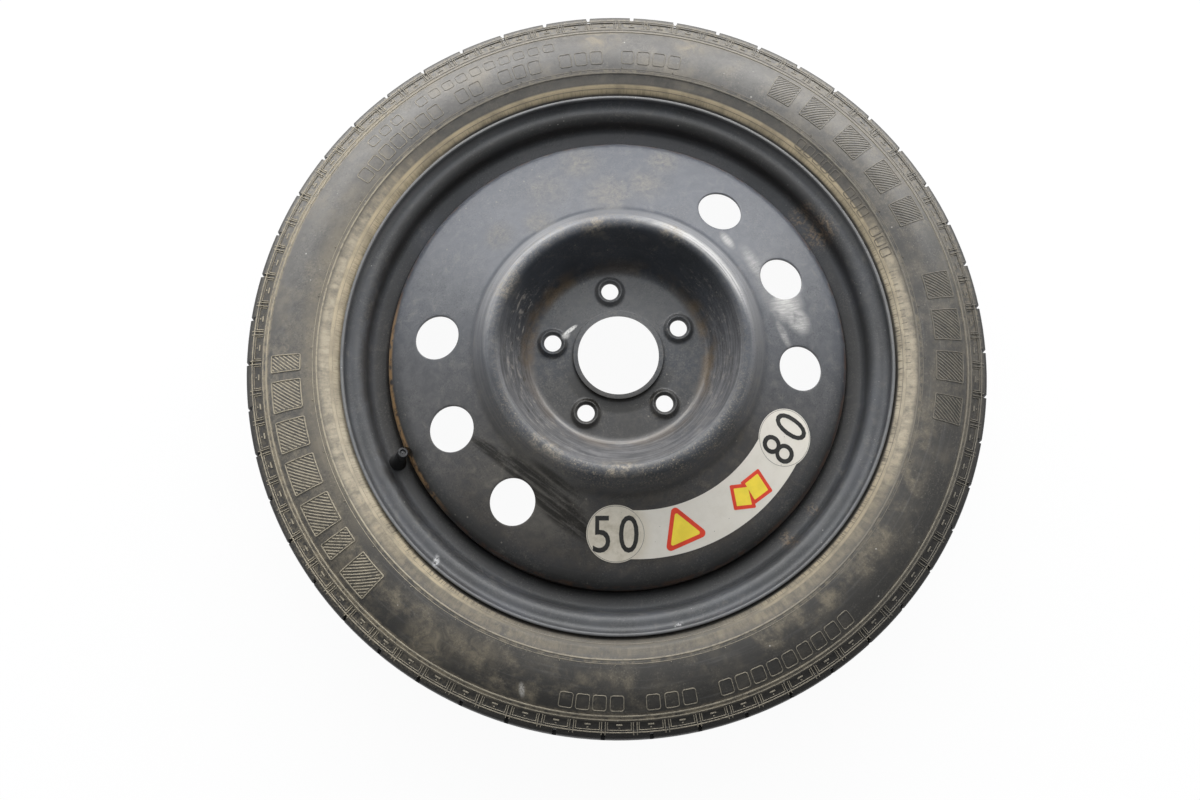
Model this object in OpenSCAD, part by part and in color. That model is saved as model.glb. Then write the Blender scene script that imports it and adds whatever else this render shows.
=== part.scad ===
// Space saver spare wheel: a narrow temporary tyre on a welded steel wheel.
// The wheel lies flat, outboard face up. Its axis is Z, its valve is on the -X side, and the
// origin is the middle of the bolt circle in the plane of the mounting face.

/* [Tyre] */
// Height of the tyre's section over the bead seats
section_h = 106; // [100:0.5:112]
// Overall width of the tyre between its sidewalls
tyre_w = 142; // [138:1:146]
// Distance from the tread in to the raised line between sidewall and shoulder
shoulder_drop = 22.4; // [20:0.2:25]
// Distance from the rim's lip out to the raised line round the bead area
bead_line_gap = 19.4; // [18:0.2:21]
// Radius of the sidewall's curve
sidewall_bend = 69.4; // [62:0.2:80]
// Thickness of the sidewall
sidewall_t = 7.5; // [6:0.5:9]
// Thickness of the tread
tread_t = 12.5; // [10:0.5:15]
// Width of a tread groove
groove_w = 6.5; // [4:0.5:9]
// Depth of the tread grooves
groove_depth = 3.8; // [2:0.2:5]
// Number of notches in each edge of the tread
notch_count = 50; // [40:2:60]
// Width of a notch
notch_w = 3.2; // [2:0.2:4]

/* [Rim] */
// Diameter of the bead seats at the flanges
seat_d = 462; // [460:0.5:464]
// Width between the flanges, where the beads sit
rim_w = 101.6; // [99:0.2:104]
// Height of the flanges over the bead seats
lip_h = 17.3; // [16.5:0.1:18]
// Depth of the well under the bead seats
well_depth = 20.2; // [18:0.2:23]
// Thickness of the rim's steel
rim_t = 2.8; // [2.4:0.1:3.2]
// Radius of the curl of the lips
curl_r = 9.5; // [8:0.5:10]

/* [Disc] */
// Thickness of the disc's steel
disc_t = 4; // [3.5:0.1:4.2]
// Distance from the rim's middle plane out to the mounting face
inset = 53; // [48:1:58]
// Height of the hub ring's crest over the pad
crest_h = 47; // [40:1:52]
// Radius of the hub ring's crest
crest_r = 110.5; // [108:0.5:113]
// Number of vent holes in each of the two groups
vents_per_group = 3; // [1:1:5]
// Diameter of a vent hole
vent_d = 40; // [34:1:44]
// Distance from the hub ring's valley out to the circle of vent holes
vent_gap = 32.8; // [29:0.2:36]

/* [Hub] */
// Diameter of the centre bore
bore_d = 72.6; // [66:0.1:74]
// Number of bolt holes
bolt_count = 5; // [4:1:6]
// Diameter of the bolt circle
bolt_circle_d = 120; // [112:1:120]
// Diameter of a bolt hole
bolt_hole_d = 15.5; // [14:0.5:16]

/* [Valve] */
// Diameter of the valve hole in the rim
valve_hole_d = 11.5; // [11:0.1:12]
// Length of the valve over the wall of the rim, cap included
valve_h = 32.7; // [30:0.1:36]
// Diameter of the cap
cap_d = 9.6; // [9.4:0.1:11]

/* [Label] */
// Thickness of the label's film
label_t = 0.3; // [0.2:0.1:0.5]
// Width of the label's strip
label_w = 40.4; // [36:0.2:44]
// Diameter of the label's two round ends
label_end_d = 51; // [46:1:54]

/* [Hidden] */
$fn = 128;

// Degrees of a bend or an arc for each straight piece of its outline
arc_step = 11;

// Every section below has the radius as x and the distance from the rim's middle plane as y
function unit(v) = v / norm(v);
function left_of(v) = [-v[1], v[0]];
function reversed(list) = [for (i = [len(list) - 1:-1:0]) list[i]];
function flipped(path) = [for (p = reversed(path)) [p[0], -p[1]]];

// Arc about a centre, from angle a to angle b
function arc(centre, r, a, b) =
    let (n = ceil(abs(b - a) / arc_step))
    [for (i = [0:n]) let (q = a + (b - a) * i / n) centre + r * [cos(q), sin(q)]];

// The corner p of a path from a to b, bent to radius r
function bend(a, p, b, r) =
    let (u = unit(a - p), w = unit(b - p), half = acos(u * w) / 2)
    let (centre = p + unit(u + w) * r / sin(half))
    let (start = p + u * r / tan(half) - centre)
    let (q = atan2(start[1], start[0]), sweep = (180 - 2 * half) * sign(cross(w, u)))
    arc(centre, r, q, q + sweep);

// A path with each of its inner corners bent to the radius of its place in the list
function bent(path, radii) =
    [for (i = [0:len(path) - 1])
        each (radii[i] > 0 ? bend(path[i - 1], path[i], path[i + 1], radii[i]) : [path[i]])];

// The sharp path that runs at distance d to the left of a path
function beside(path, d) =
    let (last = len(path) - 1)
    [for (i = [0:last])
        let (before = left_of(unit(path[max(i, 1)] - path[max(i, 1) - 1])))
        let (after = left_of(unit(path[min(i, last - 1) + 1] - path[min(i, last - 1)])))
        path[i] + d * (before + after) / (1 + before * after)];

// The bend radii of that path
function beside_radii(path, radii, d) =
    [for (i = [0:len(path) - 1])
        radii[i] > 0 ? radii[i] - d * sign(cross(path[i] - path[i - 1], path[i + 1] - path[i])) : 0];

// Section of a sheet that has one face on the path and its thickness t to the left of it
module sheet(path, radii, t) {
    polygon(concat(bent(path, radii), reversed(bent(beside(path, t), beside_radii(path, radii, t)))));
}

// Turns a section about the wheel's axis, which puts the mounting face at the origin
module revolve() {
    translate([0, 0, -inset]) rotate_extrude($fn = 180) children();
}

// Rim: both flanges, both bead seats and the well, as the path of the side that faces the tyre
flange_z = rim_w / 2;
lip_straight = 3;
lip_z = flange_z + curl_r + lip_straight;
seat_r = seat_d / 2;
lip_r = seat_r + lip_h;
seat_taper = 1.6;
seat_edge = [seat_r - seat_taper, flange_z - 17.8];
well_r = seat_r - well_depth;
well_wall_slope = 17.5;
well_top = [well_r, seat_edge[1] - (seat_edge[0] - well_r) * tan(well_wall_slope)];
inner_seat_z = 20.8 - flange_z;
well_end_z = inner_seat_z + 21;
rim_path = [
    [lip_r, lip_z], [lip_r, flange_z], [seat_r, flange_z], seat_edge, well_top,
    [well_r, well_end_z], [seat_r - seat_taper, inner_seat_z], [seat_r, -flange_z], [lip_r, -flange_z],
    [lip_r, -lip_z]
];
seat_end_bend = 10;
rim_bends = [0, curl_r, 6.5, seat_end_bend, 4, 8, 8, 6.5, curl_r, 0];

// Valve: its axis is square to the outboard wall of the well, in the middle of that wall
valve_foot = (seat_edge + well_top) / 2;
valve_clearance_r = cap_d / 2 + 5.7;

// Disc: the path of its outboard face, from its flange over the hub ring to the collar of the bore
disc_r = well_r - rim_t;
pad_z = inset + disc_t;
disc_edge_z = 49;
disc_end_z = 2;
cone_slope = 24.5;
cone_rise = tan(cone_slope);
valley_r = crest_r + 19;
valley_z = disc_edge_z + (disc_r - valley_r) * cone_rise;
vent_circle_r = valley_r + vent_gap;
crest_bend = 9;
crest_corner_h = 8.1;
crest_corner_z = pad_z + crest_h + crest_corner_h;
pad_r = bolt_circle_d / 2 + 20;
collar_r = bore_d / 2 + disc_t;
collar_h = 5.5;
collar_z = pad_z + collar_h;
disc_path = [
    [disc_r, disc_end_z], [disc_r, disc_edge_z], [valley_r, valley_z],
    [crest_r, crest_corner_z], [pad_r, pad_z], [collar_r, pad_z], [collar_r, collar_z]
];
disc_bends = [0, 12, 14, crest_bend, 10, 2.5, 0];

// Bolt seats: raised cones with a hollow behind them
seat_rise = 4.5;
seat_base_r = 13.5;
seat_top_r = 10.8;
seat_cone_r = 10;
seat_cone_depth = 2.6;
seat_foot_depth = 0.5;
seat_hollow_r = 11.5;
seat_hollow_top_r = 8.75;
seat_hollow_wall = 1.2;
seat_hollow_cone = 2;

// Tyre: the sidewall is an arc between its two raised lines, the tread a flatter one
tyre_r = seat_r + section_h;
half_w = tyre_w / 2;
crown_bend = 520;
tread_edge_z = half_w - 26;
shoulder_edge = [tyre_r - 8.5, half_w - 16.8];
shoulder_line = [tyre_r - shoulder_drop, half_w - 12.4];
bead_line = [lip_r + bead_line_gap, half_w - 0.4];
line_size = 1.35;
line_depth = 0.6;
sidewall_chord = bead_line - shoulder_line;
sidewall_centre = shoulder_line + sidewall_chord / 2
    + left_of(unit(sidewall_chord)) * sqrt(pow(sidewall_bend, 2) - pow(norm(sidewall_chord) / 2, 2));
function angle_of(p) = let (v = p - sidewall_centre) atan2(v[1], v[0]);
function crown(z) = tyre_r - z * z / (2 * crown_bend);
tread_step = 7;
tread_half = [for (z = [3:tread_step:tread_edge_z - 1]) [crown(z), z]];
shoulder_half = bent(
    [[crown(tread_edge_z), tread_edge_z], [tyre_r - 2.9, half_w - 20], shoulder_edge], [0, 4, 0]);
sidewall_half = arc(sidewall_centre, sidewall_bend, angle_of(shoulder_line), angle_of(bead_line));
bead_area_half = bent(
    [bead_line - [1.5, 0.7], [lip_r + 9.2, half_w - 3.5], [lip_r + 4.4, lip_z + 0.2],
        [lip_r - 3.5, flange_z + 2.2]], [0, 9, 4, 0]);
outside_half = concat(tread_half, shoulder_half, sidewall_half, bead_area_half);
bead_toe = [seat_r - 6, flange_z - 17.5];
bead_top = [seat_r + 11, flange_z - 10.8];
bead_wall = bead_line - [5.2, 8.6];
belt_r = tyre_r - tread_t;
cavity_half = concat(
    [bead_toe, bead_top, bead_wall],
    arc(sidewall_centre, sidewall_bend - sidewall_t, angle_of(bead_line) + 2, angle_of(shoulder_line) - 3),
    bent([[belt_r - 6.5, tread_edge_z + 1], [belt_r, tread_edge_z - 7], [belt_r, 10]], [0, 8, 0]));
groove_places = [-22, 0, 22];
groove_floor_r = tyre_r - groove_depth;
notch_start_z = tread_edge_z - 9;
notch_turn = 12;
short_notch_floor_r = tyre_r - 6.6;
long_notch_floor_r = tyre_r - 10.2;

// Weld beads, on the inboard end of the disc's flange
weld_count = 8;
weld_angle = 20;
weld_size = 4;
weld_toe = 1;

// Valve pieces, as heights over the face of the rim that holds the tyre
valve_top = rim_t + valve_h;
rubber_top = 24;
stem_r = 2.9;
stem_bore_r = 2;
stem_foot = -3;
thread_r = 3.85;
thread_top = rubber_top + 8;
core_r = 2.6;
core_seat = 22;
shell_r = 1.7;
shell_bore_r = 1.3;
shell_foot = 14;
pin_r = 0.5;
pin_gap = 0.08;
pin_foot = 11;
seal_foot = 12;
pin_top = 31.2;
pin_collar_z = 21;
spring_turns = 6;
spring_wire_r = 0.16;
spring_mean_r = 0.95;

// Label: its strip bends a little more tightly than the circle that it lies on. Its round ends are
// squashed in plan, because they are round on the cone's slope
label_centre = [4.9, -23];
label_bend = vent_circle_r - 19.3;
label_end_shift = 0.4;
label_end_squash = 0.94;
label_turn = -85.5;
label_half_sweep = 36.6;
label_glue = 0.05;

module on_valve() {
    translate([0, 0, -inset]) rotate([0, 0, 180])
        translate([valve_foot[0], 0, valve_foot[1]]) rotate([0, -well_wall_slope, 0]) children();
}

// Notches in both edges of the tread, long and short by turns; those of one edge are between
// those of the other
module notches() {
    reach = 30;
    for (i = [0:notch_count - 1]) {
        floor_r = i % 2 == 0 ? long_notch_floor_r : short_notch_floor_r;
        rotate([0, 0, notch_turn + i * 360 / notch_count])
            translate([floor_r, -notch_w / 2, notch_start_z]) cube([reach, notch_w, reach]);
        rotate([0, 0, notch_turn + (i + 0.5) * 360 / notch_count])
            translate([floor_r, -notch_w / 2, -notch_start_z - reach]) cube([reach, notch_w, reach]);
    }
}

module tyre_section() {
    difference() {
        union() {
            polygon(concat(outside_half, cavity_half, flipped(cavity_half), flipped(outside_half)));
            for (side = [-1, 1]) {
                for (line = [shoulder_line, bead_line])
                    translate([line[0], side * (line[1] - line_depth)]) circle(r = line_size, $fn = 24);
            }
        }
        polygon(concat([[0, lip_z]], bent(rim_path, rim_bends), [[0, -lip_z]]));
        for (z = groove_places)
            translate([groove_floor_r, z - groove_w / 2]) square([20, groove_w]);
    }
}

module tyre() {
    color([0.13, 0.13, 0.12])
        difference() {
            revolve() tyre_section();
            translate([0, 0, -inset]) notches();
        }
}

module rim() {
    color([0.17, 0.18, 0.2])
        difference() {
            revolve() sheet(rim_path, rim_bends, -rim_t);
            on_valve() cylinder(d = valve_hole_d, h = 20, center = true);
        }
}

module bolt_places() {
    for (i = [0:bolt_count - 1])
        rotate([0, 0, i * 360 / bolt_count]) translate([bolt_circle_d / 2, 0, 0]) children();
}

// Two groups of vents, one about the valve and one opposite, punched along the wheel's axis
module vent_places() {
    for (group = [0, 180], i = [0:vents_per_group - 1])
        rotate([0, 0, group + (i - (vents_per_group - 1) / 2) * 30])
            translate([vent_circle_r, 0, 0]) children();
}

module disc() {
    color([0.2, 0.21, 0.23])
        difference() {
            union() {
                revolve() sheet(disc_path, disc_bends, disc_t);
                bolt_places() translate([0, 0, disc_t - seat_foot_depth])
                    cylinder(r1 = seat_base_r, r2 = seat_top_r, h = seat_rise + seat_foot_depth);
            }
            bolt_places() {
                cylinder(d = bolt_hole_d, h = 40, center = true);
                translate([0, 0, disc_t + seat_rise - seat_cone_depth])
                    cylinder(r1 = bolt_hole_d / 2, r2 = seat_cone_r, h = seat_cone_depth);
                translate([0, 0, -1]) cylinder(r = seat_hollow_r, h = 1 + seat_hollow_wall);
                translate([0, 0, seat_hollow_wall])
                    cylinder(r1 = seat_hollow_r, r2 = seat_hollow_top_r, h = seat_hollow_cone);
            }
            vent_places() cylinder(d = vent_d, h = 60);
            on_valve() cylinder(r = valve_clearance_r, h = 60);
        }
}

module weld_beads() {
    color([0.22, 0.22, 0.23])
        translate([0, 0, -inset])
            for (i = [0:weld_count - 1])
                rotate([0, 0, (i + 0.5) * 360 / weld_count - weld_angle / 2])
                    rotate_extrude(angle = weld_angle)
                        polygon([
                            [disc_r, disc_end_z], [disc_r - disc_t, disc_end_z],
                            [disc_r - weld_toe, disc_end_z - weld_size],
                            [disc_r, disc_end_z - weld_size]
                        ]);
}

module valve_body() {
    foot_r = 7.8;
    neck_r = valve_hole_d / 2;
    color([0.06, 0.06, 0.06])
        on_valve()
            rotate_extrude()
                polygon([
                    [stem_r, -5], [6.2, -5], [foot_r, -3.5], [foot_r, 0], [neck_r, 0], [neck_r, rim_t],
                    [7.6, rim_t], [7.6, 5.2], [6.6, 8], [5.6, 12.5], [4.9, 18], [4.7, rubber_top],
                    [stem_r, rubber_top]
                ]);
}

module valve_stem() {
    color([0.72, 0.6, 0.35])
        on_valve()
            rotate_extrude()
                polygon([
                    [stem_bore_r, stem_foot], [stem_r, stem_foot], [stem_r, rubber_top],
                    [thread_r, rubber_top], [thread_r, thread_top - 0.6], [thread_r - 0.6, thread_top],
                    [core_r, thread_top], [core_r, core_seat], [stem_bore_r, core_seat]
                ]);
}

module core_shell() {
    hole_r = pin_r + pin_gap;
    head_foot = 25;
    head_top = 29.5;
    color([0.75, 0.62, 0.36])
        on_valve()
            rotate_extrude()
                polygon([
                    [hole_r, shell_foot], [shell_r, shell_foot], [shell_r, core_seat],
                    [core_r, core_seat], [core_r, head_top], [hole_r, head_top], [hole_r, head_foot],
                    [shell_bore_r, head_foot], [shell_bore_r, shell_foot + 1], [hole_r, shell_foot + 1]
                ]);
}

module core_pin() {
    foot_r = 1.5;
    collar_r = 1.15;
    collar_t = 0.8;
    color([0.7, 0.7, 0.68])
        on_valve()
            rotate_extrude()
                polygon([
                    [0, pin_foot], [foot_r, pin_foot], [foot_r, seal_foot], [pin_r, seal_foot],
                    [pin_r, pin_collar_z], [collar_r, pin_collar_z], [collar_r, pin_collar_z + collar_t],
                    [pin_r, pin_collar_z + collar_t], [pin_r, pin_top], [0, pin_top]
                ]);
}

module core_seal() {
    color([0.1, 0.1, 0.1])
        on_valve()
            translate([0, 0, seal_foot])
                difference() {
                    cylinder(r = 1.6, h = shell_foot - seal_foot);
                    translate([0, 0, -1]) cylinder(r = pin_r, h = 4);
                }
}

// Return spring of the pin: a round wire swept along its turns
module core_spring() {
    sides = 6;
    steps = spring_turns * 14;
    foot = shell_foot + 1 + spring_wire_r;
    top = pin_collar_z - spring_wire_r;
    rings = [for (i = [0:steps], k = [0:sides - 1])
        let (turn = 360 * spring_turns * i / steps, q = 360 * k / sides)
        let (r = spring_mean_r + spring_wire_r * cos(q))
        [r * cos(turn), r * sin(turn), foot + (top - foot) * i / steps + spring_wire_r * sin(q)]];
    walls = [for (i = [0:steps - 1], k = [0:sides - 1])
        let (a = i * sides + k, b = i * sides + (k + 1) % sides)
        [a, a + sides, b + sides, b]];
    ends = [[for (k = [0:sides - 1]) k], [for (k = [sides - 1:-1:0]) steps * sides + k]];
    color([0.6, 0.6, 0.6]) on_valve() polyhedron(rings, concat(walls, ends));
}

module valve_cap() {
    bore_r = thread_r + 0.3;
    bore_top = thread_top + 0.8;
    color([0.05, 0.05, 0.05])
        on_valve()
            rotate_extrude()
                polygon([
                    [bore_r, rubber_top], [cap_d / 2, rubber_top], [cap_d / 2, valve_top - 1.2],
                    [cap_d / 2 - 0.8, valve_top], [2.6, valve_top], [2, valve_top - 1.4],
                    [0, valve_top - 1.4], [0, bore_top], [bore_r, bore_top]
                ]);
}

// A shell of the film's thickness on the disc's cone, over its glue
module label_shell() {
    inner = valley_r + 4;
    outer = disc_r - 12;
    outward = [sin(cone_slope), cos(cone_slope)];
    function over_cone(r, h) = [r, valley_z - (r - valley_r) * cone_rise] + h * outward;
    top = label_glue + label_t;
    revolve()
        polygon([
            over_cone(inner, label_glue), over_cone(outer, label_glue), over_cone(outer, top),
            over_cone(inner, top)
        ]);
}

module label_outline() {
    translate(label_centre) rotate([0, 0, label_turn]) {
        intersection() {
            difference() {
                circle(r = label_bend + label_w / 2);
                circle(r = label_bend - label_w / 2);
            }
            polygon([
                [0, 0], 400 * [cos(label_half_sweep), -sin(label_half_sweep)],
                400 * [cos(label_half_sweep), sin(label_half_sweep)]
            ]);
        }
        for (side = [-1, 1])
            rotate([0, 0, side * label_half_sweep]) translate([label_bend + label_end_shift, 0])
                scale([label_end_squash, 1]) circle(d = label_end_d);
    }
}

module speed_label() {
    color([0.78, 0.76, 0.68])
        intersection() {
            label_shell();
            translate([0, 0, -inset]) linear_extrude(height = 200) label_outline();
        }
}

tyre();
rim();
disc();
weld_beads();
valve_body();
valve_stem();
core_shell();
core_pin();
core_seal();
core_spring();
valve_cap();
speed_label();
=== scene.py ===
import math
import random
from functools import reduce

import bmesh
import bpy
from mathutils import Matrix, Vector


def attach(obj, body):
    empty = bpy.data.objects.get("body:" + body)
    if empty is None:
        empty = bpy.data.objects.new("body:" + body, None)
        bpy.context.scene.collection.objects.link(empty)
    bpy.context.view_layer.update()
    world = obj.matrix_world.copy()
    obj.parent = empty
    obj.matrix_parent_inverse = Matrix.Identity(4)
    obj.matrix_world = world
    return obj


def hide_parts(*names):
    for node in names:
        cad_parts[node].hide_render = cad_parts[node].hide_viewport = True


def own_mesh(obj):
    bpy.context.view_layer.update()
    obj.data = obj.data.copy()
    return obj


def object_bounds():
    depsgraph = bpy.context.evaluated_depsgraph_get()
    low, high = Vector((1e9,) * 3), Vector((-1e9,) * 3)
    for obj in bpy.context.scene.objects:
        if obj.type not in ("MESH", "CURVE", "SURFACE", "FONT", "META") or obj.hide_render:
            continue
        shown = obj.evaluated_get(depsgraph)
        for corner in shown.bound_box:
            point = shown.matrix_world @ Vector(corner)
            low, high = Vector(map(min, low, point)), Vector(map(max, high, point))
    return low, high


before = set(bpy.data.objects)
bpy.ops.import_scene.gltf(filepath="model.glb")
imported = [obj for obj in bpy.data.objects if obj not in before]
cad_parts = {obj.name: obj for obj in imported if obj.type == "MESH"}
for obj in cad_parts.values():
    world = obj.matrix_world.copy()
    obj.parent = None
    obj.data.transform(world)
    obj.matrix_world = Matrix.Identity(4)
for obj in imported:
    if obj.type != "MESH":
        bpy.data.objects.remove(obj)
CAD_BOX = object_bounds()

MM = 0.001
INSET = 53.0          # rim middle plane to mounting face, mm
TURN = 25.2           # picture angle minus frame angle, degrees
CONE = math.radians(24.5)


def add_object(name, data):
    """A new object in the scene."""
    made = bpy.data.objects.new(name, data)
    bpy.context.scene.collection.objects.link(made)
    return made


def make_mesh(name, vertices, faces):
    mesh = bpy.data.meshes.new(name)
    mesh.from_pydata(vertices, [], faces)
    return mesh


# Camera
SENSOR, PICTURE_WIDTH = 36.0, 1200.0


def make_camera():
    """The camera that was fitted to the rings and holes of the wheel in the photograph."""
    focal_px, distance = 1272.95, 1200.0
    tilt, heading = math.radians(11.58), math.radians(86.24)
    shift_x, shift_y = 15.7, 28.11
    n = Vector((math.sin(tilt) * math.cos(heading), math.sin(tilt) * math.sin(heading), math.cos(tilt)))
    r = (Vector((1, 0, 0)) - n.x * n).normalized()
    u = n.cross(r)
    axes = [Vector((r[i], u[i], n[i])) for i in range(3)]
    place = -shift_x * axes[0] - shift_y * axes[1] + distance * axes[2]
    spin = Matrix.Rotation(math.radians(-TURN), 3, "Z")
    place = spin @ place - Vector((0, 0, INSET))
    data = bpy.data.cameras.new("camera")
    data.sensor_width = SENSOR
    data.lens = SENSOR * focal_px / PICTURE_WIDTH
    data.clip_start, data.clip_end = 0.01, 50
    camera = add_object("camera", data)
    facing = Matrix([spin @ axis for axis in axes]).transposed()
    camera.matrix_world = Matrix.Translation(place * MM) @ facing.to_4x4()
    bpy.context.scene.camera = camera


make_camera()


# Paths in mm
def on_circle(angle, r=1.0):
    """A point at an angle in degrees on a circle about the origin."""
    q = math.radians(angle)
    return r * math.cos(q), r * math.sin(q)


def between(a, b, k):
    return a[0] + (b[0] - a[0]) * k, a[1] + (b[1] - a[1]) * k


def unit(v):
    k = math.hypot(*v)
    return (v[0] / k, v[1] / k)


def arc(c, r, a, b, step=5.0):
    """Points of an arc, angles in degrees."""
    n = max(1, math.ceil(abs(b - a) / step))
    out = []
    for i in range(n + 1):
        x, y = on_circle(a + (b - a) * i / n, r)
        out.append((c[0] + x, c[1] + y))
    return out


def bend(a, p, b, r, step):
    """Arc that rounds the corner p between a and b."""
    u, w = unit((a[0] - p[0], a[1] - p[1])), unit((b[0] - p[0], b[1] - p[1]))
    half = math.acos(max(-1, min(1, u[0] * w[0] + u[1] * w[1]))) / 2
    m = unit((u[0] + w[0], u[1] + w[1]))
    c = (p[0] + m[0] * r / math.sin(half), p[1] + m[1] * r / math.sin(half))
    s = (p[0] + u[0] * r / math.tan(half) - c[0], p[1] + u[1] * r / math.tan(half) - c[1])
    q = math.degrees(math.atan2(s[1], s[0]))
    turn = (180 - 2 * math.degrees(half)) * (1 if w[0] * u[1] - w[1] * u[0] > 0 else -1)
    return arc(c, r, q, q + turn, step)


def bent(path, radii, step=5.0):
    """The path with its corners rounded by the radii."""
    out = []
    for i, p in enumerate(path):
        out += bend(path[i - 1], p, path[i + 1], radii[i], step) if radii[i] > 0 else [p]
    return out


def resampled(path, gap):
    """The path with extra points so that no stretch is longer than gap."""
    out = [path[0]]
    for a, b in zip(path, path[1:]):
        n = max(1, math.ceil(math.dist(a, b) / gap))
        out += [(a[0] + (b[0] - a[0]) * i / n, a[1] + (b[1] - a[1]) * i / n) for i in range(1, n + 1)]
    return out


def normals(path):
    """Left-hand normals of a path."""
    out = []
    for i in range(len(path)):
        a, b = path[max(i - 1, 0)], path[min(i + 1, len(path) - 1)]
        t = unit((b[0] - a[0], b[1] - a[1]))
        out.append((-t[1], t[0]))
    return out


def lookup(path, r):
    """Height of a path at radius r, where its radius falls steadily."""
    for a, b in zip(path, path[1:]):
        lo, hi = min(a[0], b[0]), max(a[0], b[0])
        if lo <= r <= hi and hi > lo:
            return a[1] + (b[1] - a[1]) * (r - a[0]) / (b[0] - a[0])
    return path[0][1] if r > path[0][0] else path[-1][1]


def at(r, q, z):
    """A point in metres from radius, angle in radians and height over the rim's middle plane."""
    return (r * math.cos(q) * MM, r * math.sin(q) * MM, (z - INSET) * MM)


# Meshes
class Build:
    """Collects vertices and faces of one piece."""

    def __init__(self):
        self.v, self.f = [], []

    def add(self, p):
        self.v.append(p)
        return len(self.v) - 1

    def rows(self, rings, close_rows=True, close_ring=False, flip=False):
        """Joins rings of equal length into quads."""
        n = len(rings[0])
        pairs = list(zip(rings, rings[1:])) + ([(rings[-1], rings[0])] if close_ring else [])
        for a, b in pairs:
            for i in range(n if close_rows else n - 1):
                j = (i + 1) % n
                q = (a[i], a[j], b[j], b[i])
                self.f.append(q[::-1] if flip else q)

    def ends(self, rings):
        """Closes the first and the last ring."""
        self.f += [tuple(rings[0]), tuple(rings[-1][::-1])]

    def object(self, name, body, slot, material, smooth):
        mesh = make_mesh(name, self.v, self.f)
        mesh.validate()
        mesh.materials.append(material)
        obj = add_object(name, mesh)
        shade(obj, smooth)
        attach(obj, body)
        return obj


def shade(obj, angle):
    """Smooth shading, with creases over the angle in degrees kept sharp."""
    obj.data.shade_smooth()
    obj.data.set_sharp_from_angle(angle=math.radians(angle))


# Shader nodes
def new_tree(owner):
    """The empty node tree of a material or a world."""
    owner.use_nodes = True
    owner.node_tree.nodes.clear()
    return owner.node_tree


def add_node(tree, kind, inputs=None, **settings):
    """A new shader node. Its inputs, by name or number, get a value or a link from another node."""
    made = tree.nodes.new("ShaderNode" + kind)
    for key, value in settings.items():
        setattr(made, key, value)
    for key, value in (inputs or {}).items():
        if isinstance(value, bpy.types.NodeSocket):
            tree.links.new(value, made.inputs[key])
        elif value is not None:
            made.inputs[key].default_value = value
    return made


def smooth_range(tree, value, lo, hi, a, b):
    """Smooth change from a to b while value goes from lo to hi."""
    ends = {"Value": value, "From Min": lo, "From Max": hi, "To Min": a, "To Max": b}
    return add_node(tree, "MapRange", ends, interpolation_type="SMOOTHSTEP").outputs["Result"]


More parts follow.
